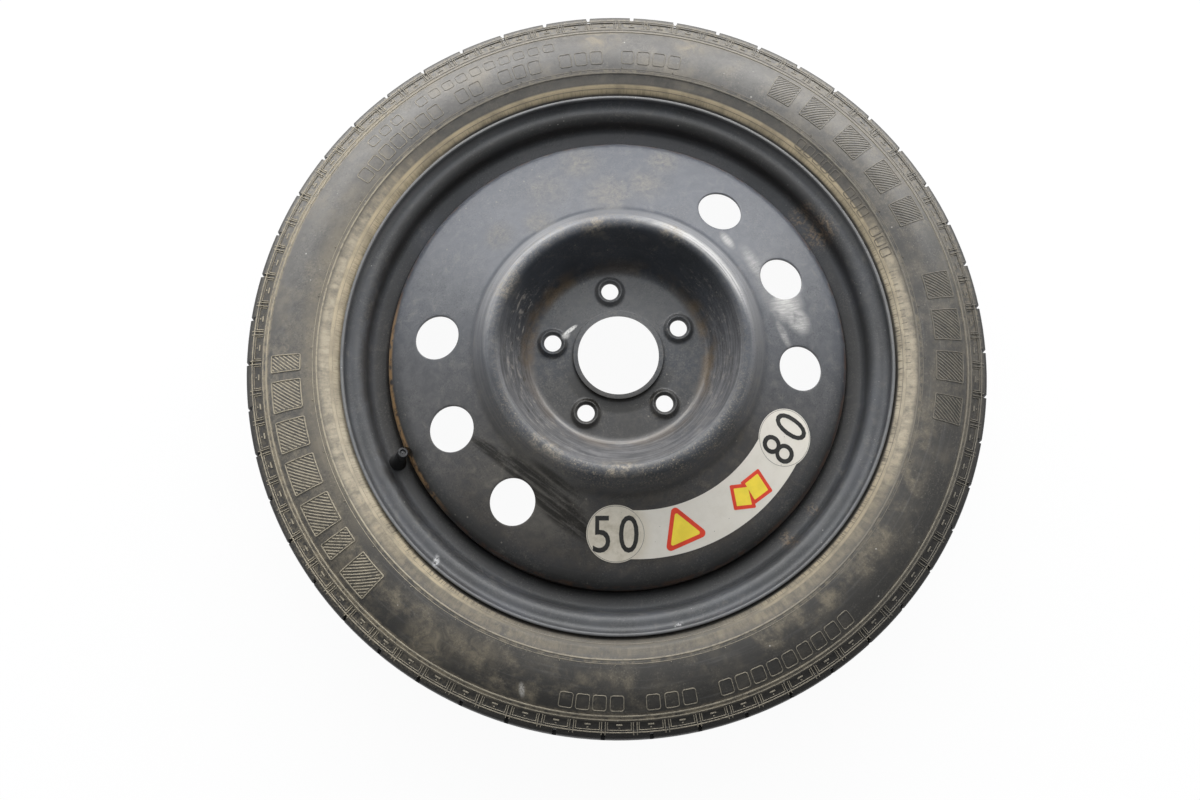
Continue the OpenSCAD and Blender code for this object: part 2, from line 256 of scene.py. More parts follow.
class Graph:
    """Short names for the nodes of one material, and the colour and roughness that its coats build up."""

    def __init__(self, name):
        self.mat = bpy.data.materials.new(name)
        self.tree = new_tree(self.mat)
        self.bsdf = self.node("BsdfPrincipled")
        self.node("OutputMaterial", {0: self.bsdf.outputs[0]})
        coord = self.node("TexCoord").outputs["Object"]
        self.p = self.node("VectorMath", {0: coord, "Scale": 1 / MM}, operation="SCALE").outputs[0]
        self.x, self.y, self.z = self.node("SeparateXYZ", {0: self.p}).outputs
        self.r = self.length(self.x, self.y)
        self.cos = self.math("DIVIDE", self.x, self.math("MAXIMUM", self.r, 0.01))
        self.sin = self.math("DIVIDE", self.y, self.math("MAXIMUM", self.r, 0.01))
        self.colour = self.rough = None

    def node(self, kind, inputs=None, **settings):
        return add_node(self.tree, kind, inputs, **settings)

    def math(self, op, *values):
        return self.node("Math", dict(enumerate(values)), operation=op).outputs[0]

    def add(self, a, b):
        return self.math("ADD", a, b)

    def sub(self, a, b):
        return self.math("SUBTRACT", a, b)

    def mul(self, *values):
        return reduce(lambda a, b: self.math("MULTIPLY", a, b), values)

    def top(self, *values):
        return reduce(lambda a, b: self.math("MAXIMUM", a, b), values)

    def length(self, x, y):
        return self.math("SQRT", self.add(self.mul(x, x), self.mul(y, y)))

    def step(self, value, lo, hi, a=0.0, b=1.0):
        """Smooth change from a to b while value goes from lo to hi, which may be the smaller one."""
        if lo > hi:
            lo, hi, a, b = hi, lo, b, a
        return smooth_range(self.tree, value, lo, hi, a, b)

    def vary(self, value, lo, hi, least):
        """A share that goes from least to 1 while value goes from lo to hi."""
        return self.blend(self.step(value, lo, hi), least, 1.0)

    def ring(self, r0, width, core=0.0):
        """1 at radius r0, 0 at width from it."""
        return self.step(self.math("ABSOLUTE", self.sub(self.r, r0)), core, width, 1.0, 0.0)

    def sector(self, centre, half, soft):
        """1 within half degrees of a direction in the frame, with a soft border."""
        c, s = on_circle(centre)
        d = self.add(self.mul(self.cos, c), self.mul(self.sin, s))
        return self.step(d, on_circle(min(half + soft, 179))[0], on_circle(max(half - soft, 0))[0])

    def spot(self, r, angle, size, soft):
        """1 within a blot of that size in mm round a point given by radius and angle."""
        cx, cy = on_circle(angle, r)
        d = self.length(self.sub(self.x, cx), self.sub(self.y, cy))
        return self.step(d, size * (1 - soft), size, 1.0, 0.0)

    def streak(self, r, angle, length, width, turn, soft):
        """1 within a long blot round a point given by radius and angle, turn degrees from the x axis."""
        cx, cy = on_circle(angle, r)
        c, s = on_circle(turn)
        dx, dy = self.sub(self.x, cx), self.sub(self.y, cy)
        u = self.mul(self.add(self.mul(dx, c), self.mul(dy, s)), 2 / length)
        v = self.mul(self.sub(self.mul(dy, c), self.mul(dx, s)), 2 / width)
        return self.step(self.length(u, v), 1 - soft, 1, 1.0, 0.0)

    def largest(self, mask, count, places):
        """The largest of several masks of one kind. A number after a mask's own ones is its weight."""
        return self.top(*[self.mul(mask(*place[:count]), *place[count:]) for place in places])

    def sectors(self, *places):
        return self.largest(self.sector, 3, places)

    def spots(self, *places):
        return self.largest(self.spot, 4, places)

    def streaks(self, *places):
        return self.largest(self.streak, 6, places)

    def vector(self, *parts):
        return self.node("CombineXYZ", dict(enumerate(parts))).outputs[0]

    def polar(self, around, outward):
        """Coordinates for noise that is stretched along or across the rings."""
        return self.vector(self.mul(self.cos, around), self.mul(self.sin, around), self.mul(self.r, outward))

    def brushed(self, turn, along, across):
        """A position that runs slowly along a direction and fast across it, for brushed noise."""
        c, s = on_circle(turn)
        u = self.add(self.mul(self.x, c), self.mul(self.y, s))
        v = self.sub(self.mul(self.y, c), self.mul(self.x, s))
        return self.vector(self.mul(u, along), self.mul(v, across), 0.0)

    def noise(self, size, detail=4.0, rough=0.55, where=None, distort=0.0):
        """Noise from 0 to 1 whose features are about size mm wide."""
        inputs = {"Scale": 1.0 / size, "Detail": detail, "Roughness": rough, "Distortion": distort}
        inputs["Vector"] = self.p if where is None else where
        return self.node("TexNoise", inputs).outputs["Fac"]

    def cells(self, size):
        """Distance to the nearest of points that lie about size mm apart."""
        return self.node("TexVoronoi", {"Scale": 1.0 / size, "Vector": self.p}).outputs["Distance"]

    def mix(self, fac, a, b):
        """Colour that goes from a to b with fac."""
        a, b = [(*tone, 1.0) if isinstance(tone, tuple) else tone for tone in (a, b)]
        return self.node("Mix", {"Factor": fac, "A": a, "B": b}, data_type="RGBA").outputs["Result"]

    def blend(self, fac, a, b):
        """Number that goes from a to b with fac."""
        return self.node("Mix", {"Factor": fac, "A": a, "B": b}, data_type="FLOAT").outputs["Result"]

    def coat(self, tone, *masks):
        """Lays a tone over the colour, as strong as the product of the masks."""
        self.colour = self.mix(self.mul(*masks), self.colour, tone)

    def roughen(self, mask, rough):
        self.rough = self.blend(mask, self.rough, rough)

    def bump(self, height, strength, distance, under=None):
        inputs = {"Strength": strength, "Distance": distance, "Height": height, "Normal": under}
        return self.node("Bump", inputs).outputs[0]

    def done(self, normal, metallic=0.0):
        """The finished material."""
        for key, value in (("Base Color", self.colour), ("Roughness", self.rough), ("Normal", normal)):
            self.tree.links.new(value, self.bsdf.inputs[key])
        self.bsdf.inputs["Metallic"].default_value = metallic
        return self.mat


# Materials. Angles are degrees of the frame: in the photograph 65 is up, -25 right, -115 down and 155 left
TAN = (0.37, 0.31, 0.21)
DUST = (0.235, 0.215, 0.175)
RUST = (0.085, 0.04, 0.018)


def disc_wear_and_light(g, grime, film):
    """Wear of the disc where the photograph has it, and light and shade painted into its colour. Returns the
    strength of the dust.
    """
    arcs = g.noise(1.0, 4, 0.65, g.polar(2.2, 0.8))
    patchy = g.vary(grime, 0.3, 0.7, 0.5)
    # A warm film on the lower half, and painted light on the upper half: lighter bluish paint where the cone
    # faces the light
    g.coat((0.084, 0.073, 0.059), g.ring(160, 46, 26), g.sector(-118, 84, 34), patchy, 0.75)
    g.coat((0.088, 0.095, 0.112), g.step(g.r, 105, 111), g.sector(62, 92, 34),
           g.vary(grime, 0.3, 0.7, 0.6), 0.75)
    # Painted light on the outer flank of the hub ring: lighter grey on the upper side, where the flank faces
    # the light
    g.coat((0.235, 0.238, 0.247), g.ring(121.5, 9, 4), g.sector(66, 98, 34), g.vary(arcs, 0.35, 0.65, 0.55),
           g.blend(g.sector(66, 16, 16), 0.75, 0.6))
    # Streaks on the flank: a painted highlight at the upper right and upper left, and lighter grey on the
    # right, the lower left and the lower right
    flank_streaks = g.mul(g.ring(120.5, 9, 4), g.vary(arcs, 0.35, 0.65, 0.5))
    g.coat((0.34, 0.34, 0.345), flank_streaks, g.sectors((18, 24, 14), (112, 24, 14)), 0.45)
    g.coat((0.17, 0.168, 0.165), flank_streaks, g.sectors((-32, 22, 14), (-158, 26, 16), (-90, 40, 16, 0.4)), 0.5)
    # Lighter grey in patches on the left and the right
    g.coat((0.125, 0.126, 0.13), g.ring(163, 44, 28), g.sectors((-22, 26, 16), (158, 30, 16)), patchy, 0.5)
    # Painted light on the lower wall of the bowl, which faces the light: lighter grey, patchy and streaked
    # along the rings, and a painted highlight on the fold below it
    lit_lower_wall = g.mul(g.step(g.r, 76, 82), g.step(g.r, 110, 104), g.sector(-112, 108, 30),
                 g.vary(grime, 0.35, 0.7, 0.65))
    g.coat(g.mix(g.step(arcs, 0.4, 0.62), (0.098, 0.096, 0.096), (0.19, 0.187, 0.188)), lit_lower_wall, 0.8)
    g.roughen(lit_lower_wall, 0.5)
    # Painted highlight on the fold at the foot of the lower wall
    g.coat((0.26, 0.25, 0.235), g.ring(79.5, 2.2, 0.3), g.sector(-100, 76, 24),
           g.vary(arcs, 0.35, 0.6, 0.5), 0.75)
    # Tan scuffs on the upper side
    places = g.spots((151, 110, 20, 0.9), (138, 96, 20, 0.9), (147, 68, 32, 0.9), (160, 56, 26, 0.9),
                     (186, 76, 26, 0.9), (190, 52, 20, 0.9), (165, 88, 30, 0.9, 0.7))
    scuff = g.mul(places, g.step(grime, 0.3, 0.62), g.vary(g.noise(3, 5, 0.7), 0.3, 0.7, 0.3))
    g.coat((0.24, 0.218, 0.178), scuff, 0.62)
    g.roughen(scuff, 0.75)
    # Crest of the hub ring, worn down to grey and brown specks, with worn streaks painted as a highlight on
    # the upper right and upper left
    specks = g.noise(2.6, 5, 0.75)
    crest = g.mul(g.ring(109.5, 5.5, 0.5), g.step(specks, 0.45, 0.62))
    worn = g.top(g.mul(crest, g.blend(g.noise(40, 2), 0.1, 0.8)),
                 g.mul(g.ring(122, 9), g.step(specks, 0.62, 0.72), 0.5))
    g.coat((0.2, 0.175, 0.135), worn, 0.5)
    g.roughen(worn, 0.7)
    # Painted highlight on the crest, in streaks along the ring, on the upper right and, weaker, the upper
    # left
    g.coat((0.4, 0.395, 0.38), g.ring(114.5, 5.5, 1), g.sectors((25, 30, 14), (122, 34, 16, 0.4)),
           g.vary(arcs, 0.34, 0.56, 0.2), g.vary(grime, 0.35, 0.65, 0.4), 0.6)
    g.coat((0.56, 0.55, 0.53), g.ring(113.5, 5, 1), g.sector(22, 22, 12), g.vary(arcs, 0.34, 0.56, 0.3), 0.6)
    blots = g.spots((110.6, 76, 18, 0.8), (108, -115, 24, 0.8), (112.5, -150, 22, 0.8), (112.5, 127, 20, 0.8),
                    (112, 40, 16, 0.8))
    g.coat((0.27, 0.235, 0.18), blots, g.vary(specks, 0.4, 0.62, 0.15), g.ring(110.5, 12, 3),
           g.step(grime, 0.3, 0.6), 0.85)
    g.coat((0.31, 0.26, 0.19), g.ring(116, 12, 4), g.sectors((-112, 62, 26), (100, 40, 20, 0.8)),
           g.step(g.noise(1.7, 4, 0.7), 0.52, 0.64), g.step(grime, 0.34, 0.6), 0.75)
    # Scores on the wall of the bowl
    scores = g.noise(1.0, 4, 0.7, g.polar(9.0, 0.5))
    wall = g.mul(g.ring(92, 12, 5), g.sectors((160, 46, 18), (-20, 40, 18, 0.6)), g.step(grime, 0.35, 0.6))
    g.coat((0.34, 0.31, 0.27), wall, g.step(scores, 0.55, 0.63), 0.65)
    g.coat((0.02, 0.017, 0.013), wall, g.step(scores, 0.45, 0.38), 0.7)
    # Rust and dirt round the foot of the bowl and on the flat pad inside it; painted light on the pad's upper
    # side, painted shade on its lower side, and a painted shadow below the collar
    foot = g.top(g.sector(128, 34, 16), g.sector(-18, 30, 14), 0.35)
    g.coat((0.125, 0.088, 0.05), g.ring(81, 9, 1), g.step(g.noise(22, 4), 0.36, 0.6), foot, 0.8)
    g.coat((0.1, 0.095, 0.086), g.step(g.r, 82, 72), g.step(g.noise(6, 5, 0.65), 0.35, 0.75), 0.6)
    # Painted light: the pad lighter on its upper side
    g.coat((0.13, 0.13, 0.13), g.step(g.r, 78, 72), g.sector(62, 60, 34), 0.5)
    # Painted shade: the pad darker on its lower side
    g.coat((0.038, 0.034, 0.028), g.step(g.r, 79, 74), g.sector(-118, 60, 34), 0.6)
    # Painted shadow of the collar on the pad below it
    g.coat((0.012, 0.011, 0.009), g.ring(46, 8, 4.5), g.sector(-116, 56, 30), 0.95)
    # Bare scrape beside a bolt
    g.coat((0.7, 0.69, 0.66), g.streaks((49.5, 126, 19, 4.5, 12, 0.5), (51, 134, 14, 8, 20, 0.8, 0.6)),
           g.step(g.noise(1.8, 4, 0.7), 0.32, 0.5))
    # Pale scrapes round the middle vent on the right
    places = g.streaks((146, 8, 54, 20, 96, 0.9, 0.55), (156, -9, 44, 42, 60, 0.8),
                       (151, -3, 96, 44, 84, 0.9, 0.3), (163, -14, 40, 28, 100, 0.8),
                       (147, -19, 34, 10, 90, 0.8, 0.8), (141, 21, 24, 12, 100, 0.8, 0.7))
    scratches = g.noise(1.0, 3, 0.6, g.polar(110.0, 0.1))
    scraped = g.mul(places, g.vary(scratches, 0.35, 0.65, 0.6), g.step(g.noise(16, 4), 0.18, 0.5))
    g.coat((0.46, 0.45, 0.43), scraped, 0.95)
    g.roughen(scraped, 0.6)
    # Dark wet run between the lower vents and the label, on a dull ground
    g.coat((0.15, 0.14, 0.122), g.streak(147, -147, 150, 90, -62, 0.7), patchy, 0.8)
    places = g.streaks((138, -148, 140, 20, -61, 0.45), (152, -134, 92, 26, -64, 0.45),
                       (141, -163, 80, 13, -59, 0.45), (128, -140, 70, 9, -62, 0.6, 0.8))
    wet = g.mul(places, g.vary(g.noise(1.0, 4, 0.6, g.brushed(-61, 0.022, 0.26)), 0.36, 0.52, 0.25))
    g.coat((0.017, 0.015, 0.012), wet, 0.95)
    g.roughen(g.mul(wet, 0.6), 0.25)
    # Painted shade on the sloping edge of the lower half, and rust where the edge meets the rim
    g.coat((0.02, 0.018, 0.014), g.step(g.r, 188, 203), g.sector(-118, 84, 24), 0.7)
    g.coat(RUST, g.step(g.r, 203.5, 207.5), g.step(g.noise(12, 5, 0.7), 0.42, 0.6), 0.8)
    g.coat((0.3, 0.185, 0.085), g.step(g.r, 203, 205.5), g.sector(168, 24, 8),
           g.step(g.noise(8, 5, 0.7), 0.4, 0.54), 0.85)
    g.coat((0.22, 0.2, 0.17), g.step(g.cells(9), 0.12, 0.05), g.step(g.noise(30, 2), 0.5, 0.6), 0.6)
    return g.mul(film, 0.3)


def rim_wear_and_light(g, grime, film):
    """Wear of the rim where the photograph has it, and light and shade painted into its colour. Returns the
    strength of the dust.
    """
    # Lighter grey on the top of the lip, weaker at the bottom; a painted highlight on the flange at the upper
    # right and upper left; and dust where the rim meets the tyre
    g.coat((0.26, 0.26, 0.26), g.step(g.z, 6.2, 7.4), g.step(g.r, 243.0, 246.0),
           g.blend(g.noise(15, 3), 0.3, 1.0), g.blend(g.sector(-105, 50, 24), 0.6, 0.4))
    # Painted highlight on the flange at the upper right and upper left
    g.coat((0.13, 0.13, 0.13), g.step(g.r, 240, 244), g.sectors((20, 20, 12), (112, 24, 12)), 0.5)
    g.coat((0.1, 0.1, 0.1), g.ring(236, 5), g.step(g.noise(25, 3), 0.4, 0.7), 0.3)
    # Painted shade in the well: darker on the lower half, on the left and the right, and on the seat wall at
    # the top; painted light on the well's wall on the upper side; darker patches on the left of the seat
    g.coat((0.018, 0.016, 0.013), g.step(g.r, 226, 219), g.sector(-118, 90, 24), 0.55)
    g.coat((0.01, 0.009, 0.008), g.step(g.r, 226, 219), g.sectors((158, 22, 14), (-24, 20, 14)), 0.65)
    g.coat((0.105, 0.105, 0.11), g.step(g.r, 225, 221), g.sector(66, 26, 16), 0.55)
    g.coat((0.012, 0.012, 0.013), g.ring(231.5, 7, 3), g.sector(66, 64, 30), 0.75)
    g.coat((0.014, 0.014, 0.016), g.ring(230, 6, 1), g.sector(160, 40, 16),
           g.step(g.noise(20, 3, 0.6, distort=0.8), 0.4, 0.55), 0.7)
    # Flecks, rust along the disc's edge and in spots, and chips on the lip
    g.coat((0.4, 0.39, 0.36), g.step(g.cells(7), 0.1, 0.05), g.step(g.noise(26, 3), 0.5, 0.62),
           g.step(g.z, -25, -10), 0.7)
    g.coat(RUST, g.ring(208.5, 3.5, 0.5), g.step(g.z, -10, -4), g.step(g.noise(10, 5, 0.7), 0.35, 0.55))
    spots = g.spots((222, -72, 12, 0.9), (221, -63, 8, 0.9), (225, 8, 20, 0.9), (222, 14, 14, 0.9))
    g.coat((0.19, 0.135, 0.085), spots, g.step(g.noise(3, 5, 0.7), 0.46, 0.6), 0.8)
    g.coat((0.42, 0.42, 0.42), g.streaks((243, -156, 18, 7, 60, 0.8), (243.5, -103, 11, 5, 0, 0.8, 0.8)),
           g.step(g.noise(1.0, 3, 0.6, g.polar(160.0, 0.25)), 0.42, 0.54))
    return g.mul(g.step(g.z, -30, -15), g.add(film, 0.25), 0.3)


def paint_material(name, wear_and_light):
    """Worn satin black paint, with the worn marks and the painted light and shade of one part."""
    g = Graph(name)
    cloud = g.noise(70, 3, 0.6)
    grime = g.noise(9, 6, 0.65, distort=0.6)
    g.colour = g.mix(g.step(cloud, 0.35, 0.7), (0.026, 0.029, 0.034), (0.039, 0.044, 0.054))
    g.rough = g.add(g.mul(cloud, 0.16), 0.33)
    # Streaks that run along and across the rings
    g.coat((0.06, 0.064, 0.072), g.step(g.noise(1.0, 5, 0.7, g.polar(3.0, 0.55)), 0.52, 0.75), 0.45)
    g.coat((0.055, 0.057, 0.062), g.step(g.noise(1.0, 4, 0.6, g.polar(26.0, 0.02)), 0.55, 0.8), 0.25)
    # Thin dust, thicker in patches
    dust = wear_and_light(g, grime, g.mul(g.step(grime, 0.5, 0.8), g.step(cloud, 0.4, 0.65)))
    g.coat(DUST, dust)
    g.roughen(dust, 0.8)
    # Fine grain of dust and of bare, cleaner paint
    grain = g.noise(1.5, 4, 0.75)
    patch = g.step(g.noise(28, 4, 0.6), 0.34, 0.62)
    g.coat((0.21, 0.2, 0.175), g.step(grain, 0.53, 0.68), patch, 0.3)
    g.coat((0.014, 0.014, 0.015), g.step(grain, 0.46, 0.34), patch, 0.5)
    normal = g.bump(g.noise(1.6, 4, 0.6), 0.12, 0.0004)
    return g.done(g.bump(g.noise(24, 2), 0.25, 0.0012, normal))


def rubber_base(g, cloud, grime):
    """Rubber of the sidewall: painted shade on the lower half, dust and painted sheen on the upper left, and
    a painted highlight at the upper right and upper left.
    """
    g.colour = g.mix(g.step(cloud, 0.3, 0.7), (0.034, 0.032, 0.029), (0.056, 0.053, 0.048))
    # Painted shade on the lower half
    g.coat((0.026, 0.024, 0.021), g.sector(-118, 84, 34), 0.75)
    # Dust and painted sheen on the upper left
    g.coat((0.17, 0.163, 0.152), g.top(g.sector(95, 82, 30), 0.12), g.vary(grime, 0.3, 0.75, 0.55),
           g.step(g.r, 262, 306, 0.35, 1.0), 0.6)
    # Painted highlight at the upper right and upper left
    g.coat((0.2, 0.193, 0.18), g.step(g.r, 286, 300), g.sectors((18, 20, 14), (112, 24, 14)), 0.35)


def tyre_material():
    g = Graph("tyre_rubber_mat")
    cloud = g.noise(60, 4, 0.6)
    grime = g.noise(7, 6, 0.7, distort=0.5)
    rubber_base(g, cloud, grime)
    g.rough = g.add(g.mul(cloud, 0.16), 0.42)
    # Scuffs along the rings
    g.coat((0.115, 0.112, 0.108), g.step(g.noise(1.0, 5, 0.7, g.polar(4.0, 0.35)), 0.5, 0.8), 0.5)
    # Tan dust in the bead area, thickest on the upper left and the right
    side = g.top(g.sectors((155, 42, 16), (-25, 26, 14, 0.95), (-70, 30, 14, 0.5), (-115, 30, 14, 0.3),
                           (-160, 35, 14, 0.45)), 0.1)
    mottle = g.vary(g.noise(11, 5, 0.7), 0.32, 0.62, 0.5)
    combed = g.vary(g.noise(1.0, 4, 0.65, g.polar(60.0, 0.06)), 0.35, 0.6, 0.6)
    bead = g.mul(g.step(g.r, 270, 262), g.step(g.r, 256, 258), side, mottle, combed,
                 g.step(g.add(grime, g.mul(cloud, 0.7)), 0.42, 0.85))
    inner = g.blend(g.sector(155, 44, 16), g.step(g.r, 250.3, 252.3), g.step(g.r, 247, 248.5))
    line = g.mul(g.step(g.r, 258.5, 256.5), inner,
                 g.blend(g.sector(-115, 24, 14), g.blend(g.sector(-70, 24, 14), 1.0, 0.8), 0.15),
                 g.vary(g.noise(18, 3), 0.35, 0.6, 0.6))
    bead = g.top(bead, line)
    edge = g.mul(g.ring(268.5, 5, 1), g.step(grime, 0.4, 0.65), 0.35)
    shoulder = g.mul(g.ring(316, 5, 1.5), g.step(grime, 0.3, 0.65),
                     g.top(g.sectors((160, 62, 24), (-125, 40, 20, 0.7)), 0.3), 0.75)
    # Brown stains on the sidewall
    stains = g.spots((300, -148, 34, 0.9), (309, 68, 30, 0.9, 0.9), (306, 52, 22, 0.9, 0.7),
                     (285, -140, 30, 0.9, 0.7))
    stains = g.mul(stains, g.step(g.noise(13, 5, 0.6, distort=0.8), 0.3, 0.75), 0.6)
    clouds = g.mul(g.top(g.mul(g.ring(296, 26, 10), g.sector(-150, 34, 18)),
                         g.mul(g.ring(276, 22, 6), g.sector(-66, 30, 18), 0.9)),
                   g.step(g.noise(24, 6, 0.66, distort=0.25), 0.4, 0.72), 0.5)
    blocks = g.mul(g.step(g.r, 317, 320), g.step(g.r, 334, 329), g.step(g.noise(3, 4), 0.4, 0.65), 0.35,
                   g.blend(g.sector(-85, 60, 22), 1.0, 0.3))
    marks = g.mul(g.ring(296, 20, 14), g.sectors((176.5, 24, 2), (17, 20, 2, 0.5), (-23.5, 14, 2, 0.5)),
                  g.step(grime, 0.35, 0.75), 0.4)
    left = g.mul(g.step(g.r, 292, 272), g.step(g.r, 258, 264), g.sector(155, 30, 16), mottle, 0.35)
    dust = g.top(bead, edge, shoulder, blocks, marks, stains, clouds, left)
    thin = g.mul(g.step(g.noise(30, 5, 0.65), 0.45, 0.75), g.blend(g.sector(-118, 84, 34), 0.2, 0.1))
    g.coat(TAN, g.top(g.mul(dust, 0.85), thin))
    g.coat((0.52, 0.47, 0.38), bead, g.sectors((155, 30, 16), (-25, 20, 12)), 0.4)
    g.coat((0.66, 0.54, 0.35), line, g.sector(72, 78, 28), 0.65)
    g.roughen(dust, 0.9)
    # Dark streaks through the dust next to the rim
    g.coat((0.06, 0.052, 0.04), g.step(g.r, 256.5, 252),
           g.step(g.noise(1.0, 3, 0.6, g.polar(190.0, 0.1)), 0.5, 0.6),
           g.blend(g.sectors((66, 72, 30), (155, 30, 16)), 0.8, 0.25))
    # White flecks
    flecks = g.mul(g.step(g.cells(14), 0.07, 0.03), g.step(g.noise(24, 2), 0.52, 0.6))
    smear = g.mul(g.streak(304, -131, 16, 7, 70, 0.7), g.step(g.noise(1.6, 4, 0.7), 0.36, 0.52))
    g.coat((0.5, 0.48, 0.44), g.top(flecks, smear), 0.7)
    # Fine grain of dust and of cleaner rubber
    grain = g.noise(1.7, 4, 0.75)
    patch = g.mul(g.step(g.noise(24, 4, 0.6), 0.34, 0.62), g.step(g.r, 262, 274, 0.5, 1.0))
    g.coat((0.3, 0.27, 0.215), g.step(grain, 0.53, 0.68), patch, 0.3)
    g.coat((0.02, 0.018, 0.015), g.step(grain, 0.46, 0.34), patch, 0.45)
    # The tread is blacker
    g.coat((0.022, 0.021, 0.02), g.step(g.r, 330, 333.5), 0.7)
    g.coat((0.012, 0.0115, 0.011), g.step(g.r, 333.5, 335.5), 0.85)
    # Painted shade on the shoulder band low down; the band is also darker on the left, and so is the tread's
    # edge on the right
    g.coat((0.013, 0.012, 0.011), g.step(g.r, 317.5, 320), g.sectors((-85, 48, 22), (158, 18, 12, 0.7)), 0.75)
    g.coat((0.01, 0.01, 0.01), g.step(g.r, 331, 334), g.sector(-25, 26, 12), 0.8)
    normal = g.bump(g.noise(0.9, 4, 0.6), 0.25, 0.0004)
    return g.done(g.bump(g.noise(5, 3), 0.12, 0.0008, normal))


def ridge_material():
    """Raised marks of the tyre, dusty on their crowns."""
    g = Graph("tyre_marks_mat")
    around = g.top(g.sectors((160, 56, 24), (-125, 50, 24, 0.62)), 0.3)
    place = g.top(around, g.mul(g.ring(314.6, 4, 2), g.add(g.mul(around, 0.8), 0.2)))
    amount = g.mul(g.step(g.noise(5, 5, 0.7), 0.22, 0.55), place)
    rubber_base(g, g.noise(60, 4, 0.6), g.noise(7, 6, 0.7, distort=0.5))
    g.coat((0.16, 0.15, 0.13), 0.25)
    g.coat((0.34, 0.3, 0.225), amount)
    g.rough = g.blend(amount, 0.6, 0.9)
    return g.done(g.bump(g.noise(1.2, 3), 0.2, 0.0003))


def plain_material(name, colour, rough, grain=1.5, strength=0.15, vary=0.3, metallic=0.0):
    """One tone that varies a little from place to place."""
    g = Graph(name)
    n = g.noise(grain * 6, 5, 0.6)
    low, high = [tuple(c * k for c in colour) for k in (1 - vary, 1 + vary)]
    g.colour = g.mix(g.step(n, 0.3, 0.7), low, high)
    g.rough = g.add(g.mul(n, 0.2), rough - 0.1)
    return g.done(g.bump(g.noise(grain, 3), strength, 0.0003), metallic)


def label_material():
    """Beige film, more soiled at its left end."""
    g = Graph("label_film_mat")
    soil = g.mul(g.step(g.noise(12, 6, 0.7), 0.42, 0.72), 0.75)
    g.colour = g.mix(g.mul(g.spot(162, -116, 34, 0.3), 0.5), (0.75, 0.71, 0.63), (0.62, 0.55, 0.42))
    g.coat((0.44, 0.39, 0.29), soil, g.top(g.spot(162, -116, 34, 0.6), 0.17))
    g.coat((0.1, 0.09, 0.07), g.step(g.cells(6), 0.09, 0.04), g.step(g.noise(15, 2), 0.5, 0.6), 0.7)
    g.rough = g.blend(soil, 0.38, 0.6)
    return g.done(g.bump(g.noise(3, 2), 0.06, 0.0003))


PAINT_DISC = paint_material("disc_paint_mat", disc_wear_and_light)
PAINT_RIM = paint_material("rim_paint_mat", rim_wear_and_light)
RUBBER = tyre_material()
RIDGES = ridge_material()
LABEL = label_material()
VALVE_RUBBER = plain_material("valve_rubber_mat", (0.014, 0.014, 0.014), 0.55)
CAP = plain_material("cap_mat", (0.02, 0.02, 0.021), 0.4, 0.8)
BRASS = plain_material("brass_mat", (0.5, 0.36, 0.14), 0.35, 0.8, 0.1, 0.2, 1.0)
STEEL = plain_material("core_steel_mat", (0.5, 0.5, 0.49), 0.35, 0.8, 0.1, 0.15, 1.0)
WELD = plain_material("weld_mat", (0.035, 0.034, 0.034), 0.5, 1.2, 0.4, 0.35)
INK = plain_material("ink_mat", (0.026, 0.025, 0.023), 0.5, 2.0, 0.05, 0.3)
INK_RED = plain_material("ink_red_mat", (0.72, 0.06, 0.03), 0.4, 2.0, 0.05, 0.1)
INK_YELLOW = plain_material("ink_yellow_mat", (0.93, 0.72, 0.07), 0.4, 2.0, 0.05, 0.06)
INK_RING = plain_material("ink_ring_mat", (0.2, 0.19, 0.17), 0.5, 2.0, 0.05, 0.3)


# The tyre
SEAT_R, LIP_R, TYRE_R = 231.0, 248.3, 337.0
FLANGE_Z, LIP_Z = 50.8, 63.3
SIDE_R = 69.4
SHOULDER = (314.6, 58.6)
BEAD = (267.7, 70.6)


def arc_centre(a, b, r):
    """Centre of an arc from a to b."""
    d = (b[0] - a[0], b[1] - a[1])
    k = math.hypot(*d)
    h = math.sqrt(r * r - k * k / 4)
    return (a[0] + d[0] / 2 - d[1] / k * h, a[1] + d[1] / 2 + d[0] / k * h)


SIDE_C = arc_centre(SHOULDER, BEAD, SIDE_R)


def angle_of(p):
    return math.degrees(math.atan2(p[1] - SIDE_C[1], p[0] - SIDE_C[0]))


def crown(z):
    return TYRE_R - z * z / 1040


def tyre_half():
    """Outside of the tyre from the middle of the tread to the bead, as far as the rim hides it."""
    groove, depth = 3.25, 3.8
    path = [(crown(0) - depth, 0)]
    path += [(TYRE_R - depth, groove - 0.5), (TYRE_R - depth + 0.5, groove), (crown(groove) - 0.4, groove),
             (crown(groove + 0.4), groove + 0.4)]
    path += [(crown(z), z) for z in (8, 13)]
    path += [(crown(18.35), 18.35), (crown(18.75) - 0.4, 18.75), (TYRE_R - depth + 0.5, 18.75),
             (TYRE_R - depth, 19.25), (TYRE_R - depth, 24.75), (TYRE_R - depth + 0.5, 25.25),
             (crown(25.25) - 0.4, 25.25), (crown(25.65), 25.65)]
    path += [(crown(z), z) for z in (30, 35.8, 36.2, 40.5)]
    path += bent([(crown(45), 45), (334.1, 51), (328.5, 54.2)], [0, 4, 0], 8)
    path += [(326.6, 54.9), (325.9, 54.3), (320.2, 56.2), (319.4, 57.1), (317.4, 57.6)]
    path += arc(SIDE_C, SIDE_R, angle_of(SHOULDER), angle_of(BEAD), 2.2)
    path += bent([(266.2, 69.9), (257.5, 67.5), (252.7, 63.5), (246.5, 55.2)], [0, 9, 4, 0], 8)
    return path


OUTSIDE = tyre_half()


